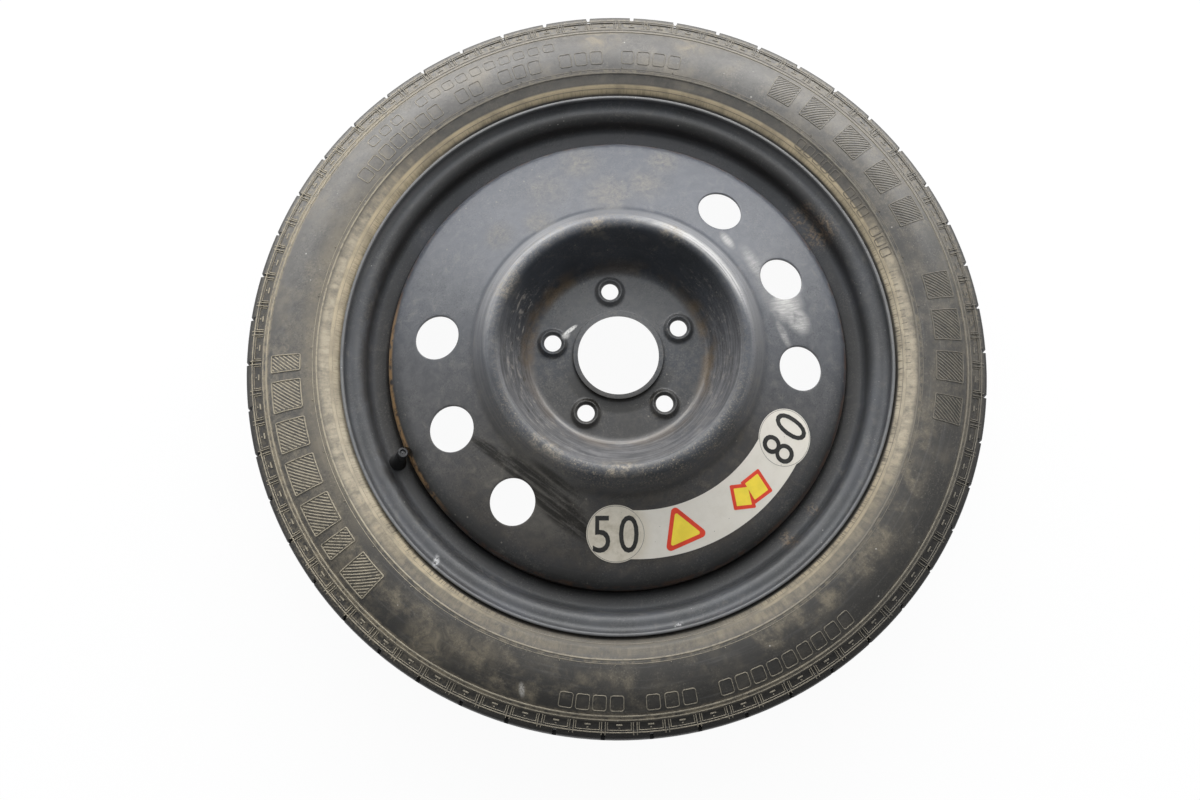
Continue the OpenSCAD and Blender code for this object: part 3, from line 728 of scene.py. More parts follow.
def lift_at(s):
    """Point and normal of the tyre's face at arc length s from its end at the rim."""
    for i in range(len(ARC) - 1):
        if ARC[i] <= s <= ARC[i + 1]:
            k = (s - ARC[i]) / (ARC[i + 1] - ARC[i])
            return between(FACE[i], FACE[i + 1], k), unit(between(FACE_N[i], FACE_N[i + 1], k))
    return FACE[-1], FACE_N[-1]


def face_path():
    """The visible face of the tyre from the rim outward, without the tread."""
    band = [p for p in OUTSIDE if p[1] > 44 and p[0] > 250]
    return resampled(band[::-1], 1.5)


FACE = face_path()
FACE_N = [(-n[0], -n[1]) if n[1] < 0 else n for n in normals(FACE)]
ARC = [0.0]
for p0, p1 in zip(FACE, FACE[1:]):
    ARC.append(ARC[-1] + math.dist(p0, p1))


def s_at(r):
    """Arc length at which the visible face has radius r."""
    for i in range(len(FACE) - 1):
        if FACE[i][0] <= r <= FACE[i + 1][0]:
            return ARC[i] + (ARC[i + 1] - ARC[i]) * (r - FACE[i][0]) / (FACE[i + 1][0] - FACE[i][0])
    return ARC[-1]


def on_face(s, q, h):
    """A point at height h over the tyre's face."""
    (r, z), n = lift_at(s)
    return at(r + n[0] * h, q, z + n[1] * h)


def make_tyre():
    b = Build()
    notches, lines = 50, []
    pitch = 360 / notches
    half = math.degrees(1.6 / TYRE_R)
    for i in range(notches):
        for start, side in ((12 + i * pitch, 1), (12 + (i + 0.5) * pitch, -1)):
            floor = 326.8 if i % 2 == 0 else 330.4
            lines += [(start - half - 0.04, side, None), (start - half, side, floor),
                      (start + half, side, floor), (start + half + 0.04, side, None)]
        for k in (1.8, 5.4):
            lines.append((12 + i * pitch + k, 0, None))
    lines.sort()
    inside = resampled([(225.5, 33.3), (242, 40), (BEAD[0] - 5.2, BEAD[1] - 8.6)], 12)
    inside += arc(SIDE_C, SIDE_R - 7.5, angle_of(BEAD) + 2, angle_of(SHOULDER) - 3, 8)
    inside += bent([(318, 46), (324.5, 38), (324.5, 8)], [0, 8, 0], 15)
    rim_side = bent([(SEAT_R + 12, FLANGE_Z), (SEAT_R, FLANGE_Z), (229.7, 36)], [0, 6.5, 0], 12)
    half_loop = OUTSIDE + rim_side + inside
    loop = half_loop + [(r, -z) for r, z in reversed(half_loop) if abs(z) > 0.01]
    rings = []
    for r, z in loop:
        ring = []
        for turn, side, floor in lines:
            rr = r
            if floor and z * side > 36.1 and r > floor:
                rr = floor
            ring.append(b.add(at(rr, math.radians(turn), z)))
        rings.append(ring)
    b.rows(rings, close_ring=True, flip=True)
    piece = b.object("tyre_moulded", "wheel", "tyre_rubber", RUBBER, 50)
    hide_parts("tyre")


make_tyre()


def ridge(height):
    """Section of a ridge: places across it as shares of its width, and heights over the face."""
    return (-0.5, -0.25), (-0.27, height), (0.27, height), (0.5, -0.25)


class Relief(Build):
    """Ridges laid on the face of the tyre. Local x runs clockwise round the tyre, y outward, in mm."""

    def strip(self, points, centre, r0, width, height, closed=False):
        """A ridge along points about a place given by angle and radius."""
        points = resampled(list(points) + ([points[0]] if closed else []), 4.5)
        points = points[:-1] if closed else points
        s0 = s_at(r0)
        q0 = math.radians(centre)
        n = len(points)
        before = [points[(i - 1) % n] if closed or i else None for i in range(n)]
        after = [points[(i + 1) % n] if closed or i < n - 1 else None for i in range(n)]
        rings = []
        for p, a, c in zip(points, before, after):
            u = unit((p[0] - a[0], p[1] - a[1])) if a else None
            w = unit((c[0] - p[0], c[1] - p[1])) if c else None
            u, w = u or w, w or u
            nu, nw = (-u[1], u[0]), (-w[1], w[0])
            k = 1 + nu[0] * nw[0] + nu[1] * nw[1]
            m = ((nu[0] + nw[0]) / max(k, 0.35), (nu[1] + nw[1]) / max(k, 0.35))
            ring = []
            for off, h in ridge(height):
                x, y = p[0] + m[0] * off * width, p[1] + m[1] * off * width
                ring.append(self.add(on_face(s0 + y, q0 - x / r0, h)))
            rings.append(ring)
        self.rows(rings, close_ring=closed, flip=True)
        if not closed:
            self.ends(rings)

    def around(self, r, width, height, gap=2.0):
        """A ridge along a whole ring."""
        n = round(360 / gap)
        rings = []
        for i in range(n):
            q = math.radians(360 * i / n)
            rings.append([self.add(on_face(s_at(r) + off * width, q, h)) for off, h in ridge(height)])
        self.rows(rings, close_ring=True)


def rounded(w, h, r):
    """Outline of a rectangle with rounded corners, in the middle of its place."""
    out = []
    x, y = w / 2 - r, h / 2 - r
    for i, corner in enumerate(((x, y), (-x, y), (-x, -y), (x, -y))):
        out += arc(corner, r, 90 * i, 90 * i + 90, 30)
    return out


def hatch(relief, centre, r0, w, h, gap, slant=0.75):
    """Slanting ridges that fill a rectangle."""
    k = -w / 2 - h * slant + gap * 0.4
    while k < w / 2:
        x0, y0, x1, y1 = k, -h / 2, k + h * slant, h / 2
        if x1 > -w / 2 and x0 < w / 2:
            if x0 < -w / 2:
                y0 += (-w / 2 - x0) / slant
                x0 = -w / 2
            if x1 > w / 2:
                y1 -= (x1 - w / 2) / slant
                x1 = w / 2
            if y1 - y0 > 1.2:
                relief.strip([(x0, y0), (x1, y1)], centre, r0, 1.3, 0.55)
        k += gap


def make_marks():
    big = Relief()
    left = [(-203.3, 15), (-197.6, 27), (-190.7, 27), (-183.6, 29), (-176.2, 29), (-170.3, 15), (-163.6, 29)]
    right = [(33.2, 24), (26.0, 26), (17.7, 28), (9.4, 27), (1.9, 24), (-12.6, 24), (-19.8, 28), (-27.3, 27),
             (-34.8, 24)]
    for blocks, r0, h, width, height, gap in ((left, 296, 28.5, 1.3, 0.75, 3.3),
                                              (right, 296.5, 27.5, 1.1, 0.6, 3.2)):
        for turn, w in blocks:
            big.strip(rounded(w, h, 1.2), turn, r0, width, height, closed=True)
            hatch(big, turn, r0, w - 2.4, h - 2.5, gap)
    big.object("sidewall_blocks", "wheel", "tyre_rubber", RIDGES, 50)

    small = Relief()
    low = [-75.5 - i * 2.79 for i in range(9)] + [-103.9, -106.8, -109.8] + [-115.6, -118.4, -121.1, -123.8]
    top_line = [113.0 - i * 2.75 for i in range(14) if i != 3]
    second = [119.0 - i * 2.95 for i in range(23) if i not in (7, 10, 14, 18)]
    for turns, size, r0, width, height in ((low, (11.5, 14, 2.2), 304, 0.9, 0.5),
                                           (top_line, (10, 10, 2.0), 301.5, 0.8, 0.4),
                                           (second, (11, 13.5, 2.0), 283.5, 0.85, 0.45)):
        for turn in turns:
            small.strip(rounded(*size), turn, r0, width, height, closed=True)
    small.object("sidewall_outlines", "wheel", "tyre_rubber", RIDGES, 50)

    bead = Relief()
    for i in range(13):
        if i not in (5, 9):
            bead.strip(rounded(7.4, 9.4, 1.4), 24.5 - i * 2.35, 260.5, 0.8, 0.45, closed=True)
    for i in range(16):
        bead.strip([(0, -2.2), (0, 2.2)], -8 - i * 1.35, 258.5, 0.8, 0.35)
    for i in range(36):
        bead.strip([(0, -0.5), (0, 0.5)], 4 + i * 10, 272.5, 0.9, 0.9)
    for r, width, height in ((271.2, 0.7, 0.25), (254.6, 0.6, 0.2), (BEAD[0], 1.9, 0.55)):
        bead.around(r, width, height)
    bead.object("bead_marks", "wheel", "tyre_rubber", RIDGES, 50)

    band = Relief()
    band.around(314.6, 1.8, 0.75)
    band.around(317.9, 1.1, 0.45)
    blocks, half = 75, 1.8
    pitch = 360 / blocks
    s0, s1 = s_at(323), s_at(325.5)
    frame_box = [(-half, 319.8), (-half, 326.3), (half, 326.3), (half, 319.8)]
    outline = [(math.radians(-a) * 323, s_at(r) - s0) for a, r in frame_box]
    for i in range(blocks):
        mid = 12 + (i + 0.5) * pitch
        band.strip(outline, mid, 323, 0.9, 0.45)
        band.strip([(-2.6, -1.1), (2.6, -1.1)], mid, 323, 1.5, 0.6)
        band.strip([(-0.7, 1.5), (0.7, 1.5)], mid, 323, 1.2, 0.5)
        for side in (-0.28, 0.28):
            band.strip([(0, s_at(319.6) - s1), (0, s_at(330.2) - s1)], 12 + i * pitch + side, 325.5, 1.0, 0.7)
    band.around(328.2, 1.2, 0.5, 0.5)
    band.object("shoulder_band", "wheel", "tyre_rubber", RIDGES, 50)


make_marks()


# The rim
LEAN = math.radians(17.5)
SEAT_EDGE, WELL_R = (229.4, 33.0), 210.8
RIM_T = 2.8


def make_rim():
    well_top = (WELL_R, SEAT_EDGE[1] - (SEAT_EDGE[0] - WELL_R) * math.tan(LEAN))
    path = [(LIP_R, LIP_Z), (LIP_R, FLANGE_Z), (SEAT_R, FLANGE_Z), SEAT_EDGE, well_top, (WELL_R, -9),
            (SEAT_EDGE[0], -30), (SEAT_R, -FLANGE_Z), (LIP_R, -FLANGE_Z), (LIP_R, -LIP_Z)]
    face = resampled(bent(path, [0, 9.5, 6.5, 10, 4, 8, 8, 6.5, 9.5, 0], 6), 6)
    back = [(p[0] - RIM_T * n[0], p[1] - RIM_T * n[1]) for p, n in zip(face, normals(face))]
    # Rounded ends at both lips
    for row in (face, back):
        row[0] = (row[0][0], row[0][1] - 0.7)
        row[-1] = (row[-1][0], row[-1][1] + 0.7)
    top = [(back[0][0] + 0.35, LIP_Z - 0.2), (back[0][0] + 0.9, LIP_Z), (face[0][0] - 0.9, LIP_Z),
           (face[0][0] - 0.35, LIP_Z - 0.2)]
    low = [(face[-1][0] - 0.35, 0.2 - LIP_Z), (face[-1][0] - 0.9, -LIP_Z), (back[-1][0] + 0.9, -LIP_Z),
           (back[-1][0] + 0.35, 0.2 - LIP_Z)]
    loop = top + face + low + back[::-1]
    b = Build()
    rings = [[b.add(at(r, math.radians(i), z)) for i in range(360)] for r, z in loop]
    b.rows(rings, close_ring=True, flip=True)
    return b.object("rim_rolled", "wheel", "rim_paint", PAINT_RIM, 50)


RIM = make_rim()


# The disc
DISC_R, DISC_T, DISC_FOOT, DISC_EDGE_Z = 208.0, 4.0, 2, 49.0
CREST_R, PAD_Z = 110.5, 57.0
VALLEY_R = CREST_R + 19
VALLEY_Z = DISC_EDGE_Z + (DISC_R - VALLEY_R) * math.tan(CONE)
VENT_R, SEAT_HOLE_R = VALLEY_R + 32.8, 60.0
VENT_ROWS, HOLE_ROWS = (184.4, 139.0), (74.5, 45.5)
DISC_PATH = bent(
    [(DISC_R, DISC_FOOT), (DISC_R, DISC_EDGE_Z), (VALLEY_R, VALLEY_Z), (CREST_R, PAD_Z + 47 + 8.1),
     (80, PAD_Z), (40.3, PAD_Z), (40.3, 62.5)], [0, 12, 14, 9, 10, 2.5, 0], 6)


def disc_lines():
    """Radii on the outboard face with fixed lines round the holes."""
    path = []
    for a, b in zip(DISC_PATH, DISC_PATH[1:]):
        stops = [m for m in VENT_ROWS + HOLE_ROWS if min(a[0], b[0]) + 0.2 < m < max(a[0], b[0]) - 0.2]
        path += [a] + [(m, a[1] + (b[1] - a[1]) * (m - a[0]) / (b[0] - a[0])) for m in stops]
    path.append(DISC_PATH[-1])
    return resampled(path, 3.6)


def make_disc():
    path = disc_lines()
    side = normals(path)
    n_ang = 360
    b = Build()
    back_of = {}

    def surface(x, y):
        """Radius, angle, height and normal of the face over a point of the plane."""
        r, q = math.hypot(x, y), math.atan2(y, x)
        z = lookup(path, r)
        for i in range(len(path) - 1):
            start, end = path[i][0], path[i + 1][0]
            if min(start, end) <= r <= max(start, end) and start != end:
                return r, q, z, unit(between(side[i], side[i + 1], (r - start) / (end - start)))
        return r, q, z, side[-1]

    def pair(r, q, z, n, rise=0.0, hollow=0.0, straight=0.0):
        """Front and back vertex: rise lifts the front, hollow thins the back, straight puts the back
        below the front as seen along the axis."""
        f = b.add(at(r, q, z + rise))
        t = DISC_T - hollow
        across, down = n[0] * t * (1 - straight), n[1] * t
        if straight:
            down += n[0] * t * straight * n[0] / n[1]
        k = b.add(at(r + across, q, z + down))
        back_of[f] = k
        return f

    # The path runs with the sheet on its left, so its left normal points inboard
    grid = [[pair(p[0], math.radians(j), p[1], n) for j in range(n_ang)] for p, n in zip(path, side)]
    removed = set()
    patches = []

    def row_at(radius):
        """Number of the fixed line at a radius, apart from the flange inside the rim."""
        return min(range(len(path)), key=lambda i: abs(path[i][0] - radius) + (0 if 30 < path[i][1] else 99))

    def block(r_hi, r_lo, centre, half):
        """Takes a block of faces out of the grid and returns its border."""
        i0, i1 = row_at(r_hi), row_at(r_lo)
        j0, j1 = centre - half, centre + half
        loop = [(i0, j) for j in range(j0, j1)] + [(i, j1) for i in range(i0, i1)]
        loop += [(i1, j) for j in range(j1, j0, -1)] + [(i, j0) for i in range(i1, i0, -1)]
        for i in range(i0, i1):
            for j in range(j0, j1):
                removed.add((i, j % n_ang))
        return [grid[i][j % n_ang] for i, j in loop]

    def hole(centre_r, turn, edge, rings):
        """Rings of points round a hole, from its edge outward, joined to the block's border."""
        cx, cy = on_circle(turn, centre_r)
        dirs = []
        for v in edge:
            x, y = b.v[v][0] / MM - cx, b.v[v][1] / MM - cy
            k = math.hypot(x, y)
            dirs.append((x / k, y / k, k))
        made = []
        for d, *how in rings:
            made.append([pair(*surface(cx + ux * d, cy + uy * d), *how) for ux, uy, _ in dirs])
        last = rings[-1][0]
        for k in (0.33, 0.67):
            ring = []
            for ux, uy, far in dirs:
                d = last + (far - last) * k
                ring.append(pair(*surface(cx + ux * d, cy + uy * d), 0, 0, (1 - k) * rings[-1][3]))
            made.append(ring)
        patches.append(made + [edge])

    vents = [(20.0, -0.7, 0.9, 1), (20.12, -0.35, 0.4, 1), (20.5, -0.1, 0.1, 1), (21.2, 0, 0, 1)]
    for turn in (0, 30, -30, 180, 150, 210):
        hole(VENT_R, turn, block(*VENT_ROWS, turn, 9), vents)
    seats = [(7.75, 1.9, 3.2, 1), (9.9, 4.35, 2.2, 1), (10.3, 4.5, 1.7, 1), (10.8, 4.35, 1.2, 1),
             (11.4, 3.4, 0.9, 1), (12.9, 0.9, 0, 1), (13.6, 0.25, 0, 1), (14.6, 0, 0, 1)]
    for i in range(5):
        hole(SEAT_HOLE_R, i * 72, block(*HOLE_ROWS, i * 72, 16), seats)

    for i in range(len(path) - 1):
        for j in range(n_ang):
            if (i, j) in removed:
                continue
            k = (j + 1) % n_ang
            b.f.append((grid[i][j], grid[i][k], grid[i + 1][k], grid[i + 1][j]))
    for rings in patches:
        b.rows(rings, flip=True)
    b.f += [tuple(back_of[v] for v in reversed(f)) for f in b.f]
    # Walls of the holes, the flange's end and the collar's end
    for rings in patches:
        low = rings[0]
        for i in range(len(low)):
            j = (i + 1) % len(low)
            b.f.append((low[i], low[j], back_of[low[j]], back_of[low[i]]))
    for ring, flip in ((grid[0], True), (grid[-1], False)):
        for j in range(n_ang):
            k = (j + 1) % n_ang
            f = (ring[j], ring[k], back_of[ring[k]], back_of[ring[j]])
            b.f.append(f[::-1] if flip else f)
    return b.object("disc_pressed", "wheel", "disc_paint", PAINT_DISC, 42)


DISC = make_disc()


# The valve's hole in the rim and its clearance in the disc
VALVE_FOOT = ((SEAT_EDGE[0] + WELL_R) / 2, SEAT_EDGE[1] - (SEAT_EDGE[0] - WELL_R) / 2 * math.tan(LEAN))


def on_valve(r, q, h):
    """A point round the valve's axis, at height h over the face of the rim that holds the tyre."""
    out, along = r * math.cos(q), r * math.sin(q)
    rr = VALVE_FOOT[0] + out * math.cos(LEAN) - h * math.sin(LEAN)
    z = VALVE_FOOT[1] + out * math.sin(LEAN) + h * math.cos(LEAN)
    return (-rr * MM, -along * MM, (z - INSET) * MM)


def cut(piece, radius, low, high):
    """Takes a round bar about the valve's axis out of a piece."""
    b = Build()
    angles = [2 * math.pi * i / 48 for i in range(48)]
    rings = [[b.add(on_valve(radius, q, h)) for q in angles] for h in (low, high)]
    b.rows(rings)
    b.f += [tuple(rings[0][::-1]), tuple(rings[1])]
    bar = add_object("bar", make_mesh("bar", b.v, b.f))
    bar.data.update()
    mod = piece.modifiers.new("cut", "BOOLEAN")
    mod.operation, mod.object, mod.solver = "DIFFERENCE", bar, "EXACT"
    depsgraph = bpy.context.evaluated_depsgraph_get()
    depsgraph.update()
    result = bpy.data.meshes.new_from_object(piece.evaluated_get(depsgraph))
    piece.modifiers.remove(mod)
    old = piece.data
    piece.data = result
    bpy.data.meshes.remove(old)
    bpy.data.objects.remove(bar)


cut(RIM, 5.75, -10, 10)
cut(DISC, 10.5, 0.5, 60)
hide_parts("rim")
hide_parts("disc")


# Weld beads
def make_welds():
    b = Build()
    rng = random.Random(4)
    for i in range(8):
        mid = (i + 0.5) * 45
        rings = []
        steps = 44
        for k in range(steps + 1):
            q = math.radians(mid - 10 + 20 * k / steps)
            end = min(1.0, min(k, steps - k) / 3)
            swell = 0.82 + 0.18 * abs(math.sin(k * 1.05 + rng.uniform(-0.15, 0.15)))
            ring = []
            for a in range(9):
                t = math.radians(90 * a / 8)
                size = 4.0 * (0.35 + 0.65 * end) * swell
                ring.append(b.add(at(DISC_R - size * math.cos(t) * 0.97, q, DISC_FOOT - size * math.sin(t))))
            ring.append(b.add(at(DISC_R, q, DISC_FOOT)))
            rings.append(ring)
        b.rows(rings, flip=True)
        b.ends(rings)
    piece = b.object("weld_ripples", "wheel", "rim_paint", WELD, 50)
    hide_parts("weld_beads")


make_welds()


# The valve
def lathe(b, path, count, wave=None):
    """Turns a path about the valve's axis. wave may change the radius from point to point."""
    rings = []
    for r, h in path:
        ring = []
        for i in range(count):
            q = 2 * math.pi * i / count
            ring.append(b.add(on_valve(wave(r, h, i) if wave else r, q, h)))
        rings.append(ring)
    b.rows(rings)
    return rings


def make_valve():
    body = Build()
    path = [(2.9, -5), (5.6, -5), (6.6, -4.4), (7.6, -3.2), (7.8, -2.4), (7.8, -0.1), (5.75, 0), (5.75, 2.8),
            (7.5, 2.9), (7.6, 3.4), (7.6, 4.9), (7.2, 5.8), (6.6, 8), (6.0, 10.5), (5.6, 12.5), (5.2, 15),
            (4.95, 18), (4.8, 21), (4.75, 23.2), (4.6, 23.8), (4.2, 24), (2.9, 24)]
    rings = lathe(body, path, 48)
    body.rows([rings[-1], rings[0]])
    piece = body.object("valve_rubber_neck", "wheel", "valve_rubber", VALVE_RUBBER, 50)
    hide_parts("valve_body")

    cap = Build()
    count = 96

    def ribs(r, h, i):
        if r > 4.5 and 25.0 < h < 33.6:
            return r - (0.28 if i % 4 in (2, 3) else 0.0)
        return r

    path = [(4.15, 24), (4.7, 24), (4.8, 24.2), (4.8, 24.9), (4.8, 25.1), (4.8, 33.4), (4.8, 33.7),
            (4.75, 34.3), (4.3, 35.2), (3.9, 35.5), (2.9, 35.5), (2.5, 35.2), (2.1, 34.3), (1.9, 34.1),
            (0.9, 34.1), (0.75, 34.5), (0.4, 34.65), (0.02, 34.65)]
    rings = lathe(cap, path, count, ribs)
    inner = lathe(cap, [(0.02, 32.8), (4.15, 32.8), (4.15, 24)], count)
    cap.rows([inner[-1], rings[0]])
    piece = cap.object("cap_ribbed", "cap", "cap_plastic", CAP, 35)
    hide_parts("valve_cap")


make_valve()


# The label
LABEL_C = (4.9, -23.0)
LABEL_BEND, LABEL_TURN, LABEL_HALF = 143.0, -85.5, 36.6
LABEL_W, END_R, FILM = 40.4, 25.5, 0.0003


def on_cone(x, y, h):
    """A point at height h over the cone of the disc."""
    r = math.hypot(x, y)
    z = VALLEY_Z - (r - VALLEY_R) * math.tan(CONE)
    k = h * math.sin(CONE) / max(r, 1)
    return ((x + x * k) * MM, (y + y * k) * MM, (z + h * math.cos(CONE) - INSET) * MM)


def label_point(turn, out):
    """Plane point on the label's strip, turn in degrees about the centre of its bend."""
    x, y = on_circle(turn, LABEL_BEND + out)
    return LABEL_C[0] + x, LABEL_C[1] + y


def turned(points, centre, angle):
    """Points turned by an angle in degrees and shifted to a centre."""
    c, s = on_circle(angle)
    return [(centre[0] + x * c - y * s, centre[1] + x * s + y * c) for x, y in points]


class Film(Build):
    """Patches of print or film on the cone."""

    def patch(self, outline, h):
        """A convex outline filled with shrinking rings."""
        cx = sum(p[0] for p in outline) / len(outline)
        cy = sum(p[1] for p in outline) / len(outline)
        rings = [[self.add(on_cone(cx + (x - cx) * k, cy + (y - cy) * k, h)) for x, y in outline]
                 for k in (1, 0.75, 0.5, 0.25, 0.05)]
        self.rows(rings)
        self.f.append(tuple(rings[-1]))

    def lowered(self, ring):
        """Copies of vertices at the foot of the film's edge."""
        return [self.add(tuple(Vector(self.v[v]) - Vector((0, 0, FILM)))) for v in ring]


def end_circle(turn, r, n=72):
    """Circle about the middle of a round end, squashed in plan because it is round on the slope."""
    angles = [2 * math.pi * i / n for i in range(n)]
    return turned([(0.94 * r * math.cos(q), r * math.sin(q)) for q in angles], label_point(turn, 0.4), turn)


def soft_corners(points, r, inset):
    """A convex outline, anticlockwise, moved in by inset, with rounded corners and points along its sides."""
    n = len(points)
    moved = []
    for i in range(n):
        a, p, c = points[i - 1], points[i], points[(i + 1) % n]
        u, w = unit((p[0] - a[0], p[1] - a[1])), unit((c[0] - p[0], c[1] - p[1]))
        nu, nw = (-u[1], u[0]), (-w[1], w[0])
        k = inset / (1 + nu[0] * nw[0] + nu[1] * nw[1])
        moved.append((p[0] + (nu[0] + nw[0]) * k, p[1] + (nu[1] + nw[1]) * k))
    r = max(0.6, r - inset * 0.6)
    out = []
    for i in range(n):
        out += bend(moved[i - 1], moved[i], moved[(i + 1) % n], r, 20)
    return resampled(out + [out[0]], 3)[:-1]


def placed(points, turn, out, spin):
    """Local points, x along the strip and y outward, brought to a place on the strip."""
    return turned(points, label_point(turn, out), turn - 90 + spin)


def digits(film, text, turn, size, width, h, spin):
    """Plain numerals from Blender's own font, laid on the cone."""
    curve = bpy.data.curves.new("digits", "FONT")
    curve.body = text
    curve.align_x = curve.align_y = "CENTER"
    curve.resolution_u = 4
    curve.space_character = 1.2
    holder = add_object("digits", curve)
    depsgraph = bpy.context.evaluated_depsgraph_get()
    mesh = bpy.data.meshes.new_from_object(holder.evaluated_get(depsgraph))
    bm = bmesh.new()
    bm.from_mesh(mesh)
    xs = [v.co.x for v in bm.verts]
    ys = [v.co.y for v in bm.verts]
    mx, my = (min(xs) + max(xs)) / 2, (min(ys) + max(ys)) / 2
    kx, ky = width / (max(xs) - min(xs)), size / (max(ys) - min(ys))
    for v in bm.verts:
        v.co.x, v.co.y = (v.co.x - mx) * kx, (v.co.y - my) * ky
    bmesh.ops.triangulate(bm, faces=bm.faces[:])
    for _ in range(3):
        long = [e for e in bm.edges if e.calc_length() > 4]
        if long:
            bmesh.ops.subdivide_edges(bm, edges=long, cuts=1)
            bmesh.ops.triangulate(bm, faces=bm.faces[:])
    bm.verts.index_update()
    base = len(film.v)
    film.v += [on_cone(x, y, h) for x, y in placed([v.co.xy for v in bm.verts], turn, 0.4, spin)]
    film.f += [tuple(base + v.index for v in f.verts) for f in bm.faces]
    bm.free()
    bpy.data.objects.remove(holder)
    bpy.data.curves.remove(curve)
    bpy.data.meshes.remove(mesh)


def make_label():
    film = Film()
    n, m = 64, 10
    lo, hi = LABEL_TURN - LABEL_HALF, LABEL_TURN + LABEL_HALF
    across = [-LABEL_W / 2 + LABEL_W * k / m for k in range(m + 1)]
    top = []
    for i in range(n + 1):
        turn = lo + (hi - lo) * i / n
        top.append([film.add(on_cone(*label_point(turn, out), 0.32)) for out in across])
    film.rows(top, close_rows=False, flip=True)
    for row in (0, -1):
        edge = [ring[row] for ring in top]
        film.rows([edge, film.lowered(edge)], close_rows=False, flip=(row == 0))
    for turn in (lo, hi):
        rings = [[film.add(on_cone(x, y, 0.36)) for x, y in end_circle(turn, r)]
                 for r in (0.5, 8, 16, 22, END_R)]
        film.rows(rings, flip=True)
        film.f.append(tuple(rings[0]))
        film.rows([rings[-1], film.lowered(rings[-1])], flip=True)
    piece = film.object("label_strip", "wheel", "label_film", LABEL, 60)
    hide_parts("speed_label")

    circles = Film()
    for turn in (lo, hi):
        rings = [[circles.add(on_cone(x, y, 0.42)) for x, y in end_circle(turn, r)] for r in (24.4, 24.8)]
        circles.rows(rings, flip=True)
    circles.object("label_circles", "wheel", "label_film", INK_RING, 60)

    ink = Film()
    digits(ink, "50", lo, 31.0, 39.5, 0.44, 186.9)
    digits(ink, "80", hi, 31.5, 40.5, 0.44, 173.1)
    ink.object("label_numerals", "wheel", "label_film", INK, 60)

    # A triangle, and two angular shapes of which the second lies on the first, with a border all round
    triangle = ((-21, -13.5), (21, -13.5), (0, 22.5))
    first = ((-20, -9.5), (-1, -16), (3, 5), (-15, 11))
    second = ((-2, -13), (19, -9.5), (15, 13), (-5, 9))
    for name, material, border, h in (("label_red", INK_RED, 0.0, 0.42),
                                      ("label_yellow", INK_YELLOW, 3.6, 0.47)):
        film = Film()
        film.patch(placed(soft_corners(triangle, 3.8, border), -99.0, 0.3, 187.5), h)
        for shape, rise in ((first, 0), (second, 0.02)):
            film.patch(placed(soft_corners(shape, 1.2, border * 0.85), -71.3, 0.6, 163), h + rise)
        film.object(name, "wheel", "label_film", material, 60)


make_label()


# CAD nodes that stay, and the spring
for node, material in (("valve_stem", BRASS), ("core_shell", BRASS), ("core_pin", STEEL),
                       ("core_seal", VALVE_RUBBER)):
    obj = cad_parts[node]
    obj.data.materials.clear()
    obj.data.materials.append(material)
    shade(obj, 40)


def make_spring():
    """The core's spring, as in the CAD."""
    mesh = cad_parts["core_spring"].data.copy()
    mesh.materials.clear()
    mesh.materials.append(STEEL)
    piece = add_object("core_coil", mesh)
    shade(piece, 40)
    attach(piece, "wheel")
    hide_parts("core_spring")
    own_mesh(piece)


make_spring()


# Floor, light and background
FLOOR_HALF = 6.0
GLOW_SHARE = 0.95


def highest(tree, a, b):
    return add_node(tree, "Math", {0: a, 1: b}, operation="MAXIMUM").outputs[0]


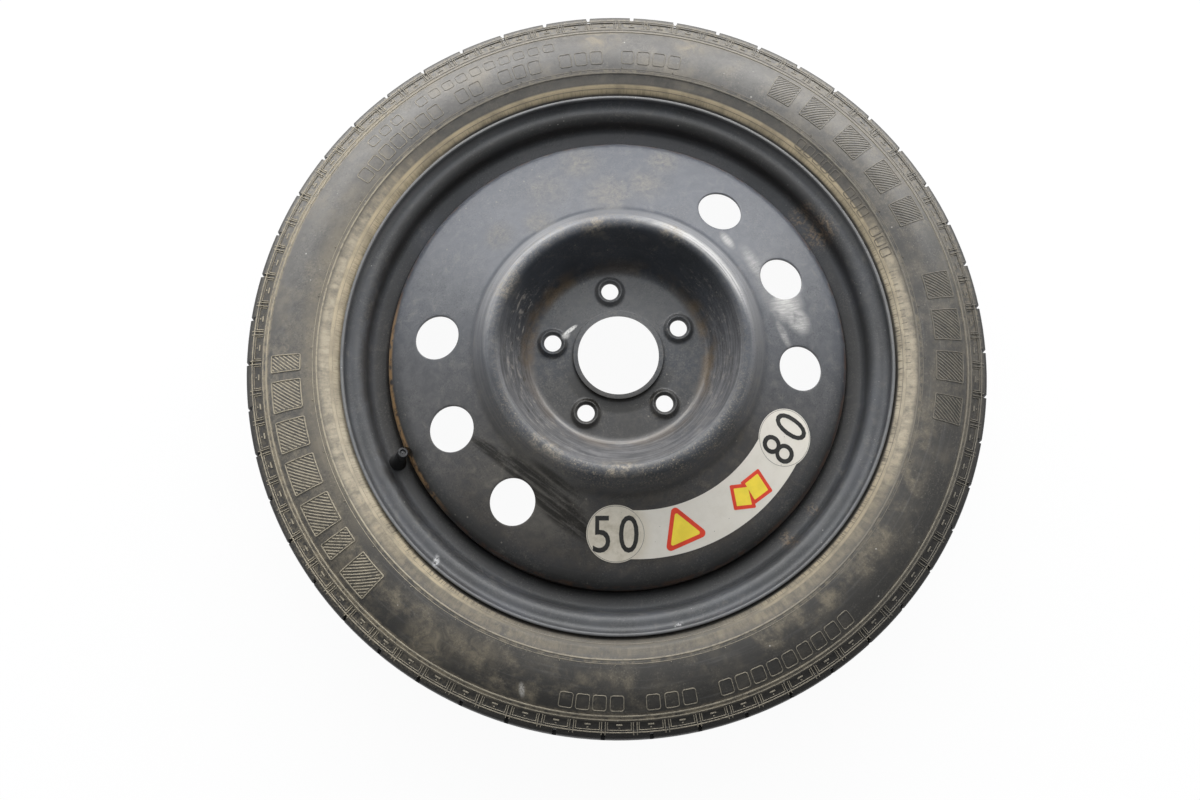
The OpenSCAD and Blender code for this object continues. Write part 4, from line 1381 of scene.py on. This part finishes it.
def make_floor():
    """A pale floor that is white to the camera and in reflections, and keeps a faint shadow."""
    material = bpy.data.materials.new("floor_mat")
    tree = new_tree(material)
    rays = add_node(tree, "LightPath").outputs
    seen = highest(tree, rays["Is Camera Ray"], rays["Is Glossy Ray"])
    seen = highest(tree, seen, rays["Is Transmission Ray"])
    share = add_node(tree, "Math", {0: seen, 1: GLOW_SHARE}, operation="MULTIPLY")
    diffuse = add_node(tree, "BsdfDiffuse", {"Color": (0.8, 0.8, 0.8, 1)})
    glow = add_node(tree, "Emission", {"Color": (1, 1, 1, 1), "Strength": 1.0})
    mix = add_node(tree, "MixShader", {0: share.outputs[0], 1: diffuse.outputs[0], 2: glow.outputs[0]})
    add_node(tree, "OutputMaterial", {0: mix.outputs[0]})
    z = CAD_BOX[0][2] - 0.0002
    corners = [(x * FLOOR_HALF, y * FLOOR_HALF, z) for x, y in ((-1, -1), (1, -1), (1, 1), (-1, 1))]
    mesh = make_mesh("floor", corners, [(0, 1, 2, 3)])
    mesh.materials.append(material)
    add_object("floor", mesh)


def direction(picture_angle, elevation):
    flat, up = on_circle(elevation)
    x, y = on_circle(picture_angle - TURN, flat)
    return Vector((x, y, up))


def make_light(name, picture_angle, elevation, distance, size, power, colour):
    data = bpy.data.lights.new(name, "AREA")
    data.shape = "RECTANGLE"
    data.size, data.size_y = size
    data.energy = power
    data.color = colour
    lamp = add_object(name, data)
    d = direction(picture_angle, elevation)
    lamp.location = d * distance
    lamp.rotation_euler = d.to_track_quat("Z", "Y").to_euler()


def make_world():
    """Soft light, brighter from the side that lies up in the photograph, and white to the camera."""
    world = bpy.data.worlds.new("studio")
    bpy.context.scene.world = world
    tree = new_tree(world)
    coord = add_node(tree, "TexCoord").outputs["Generated"]
    dot = add_node(tree, "VectorMath", {0: coord, 1: direction(95, 25)}, operation="DOT_PRODUCT")
    strength = smooth_range(tree, dot.outputs["Value"], -0.55, 1.0, 0.1, 1.15)
    soft = add_node(tree, "Background", {"Color": (0.93, 0.96, 1.0, 1), "Strength": strength})
    white = add_node(tree, "Background", {"Color": (1, 1, 1, 1)})
    rays = add_node(tree, "LightPath").outputs
    seen = highest(tree, rays["Is Camera Ray"], rays["Is Transmission Ray"])
    mix = add_node(tree, "MixShader", {0: seen, 1: soft.outputs[0], 2: white.outputs[0]})
    add_node(tree, "OutputWorld", {0: mix.outputs[0]})


make_floor()
make_world()
make_light("key", 88, 33, 2.3, (4.8, 1.25), 104, (1.0, 0.99, 0.98))
make_light("overhead", 90, 62, 2.6, (1.3, 1.3), 9, (0.98, 0.99, 1.0))

bpy.context.scene.view_settings.view_transform = "Standard"
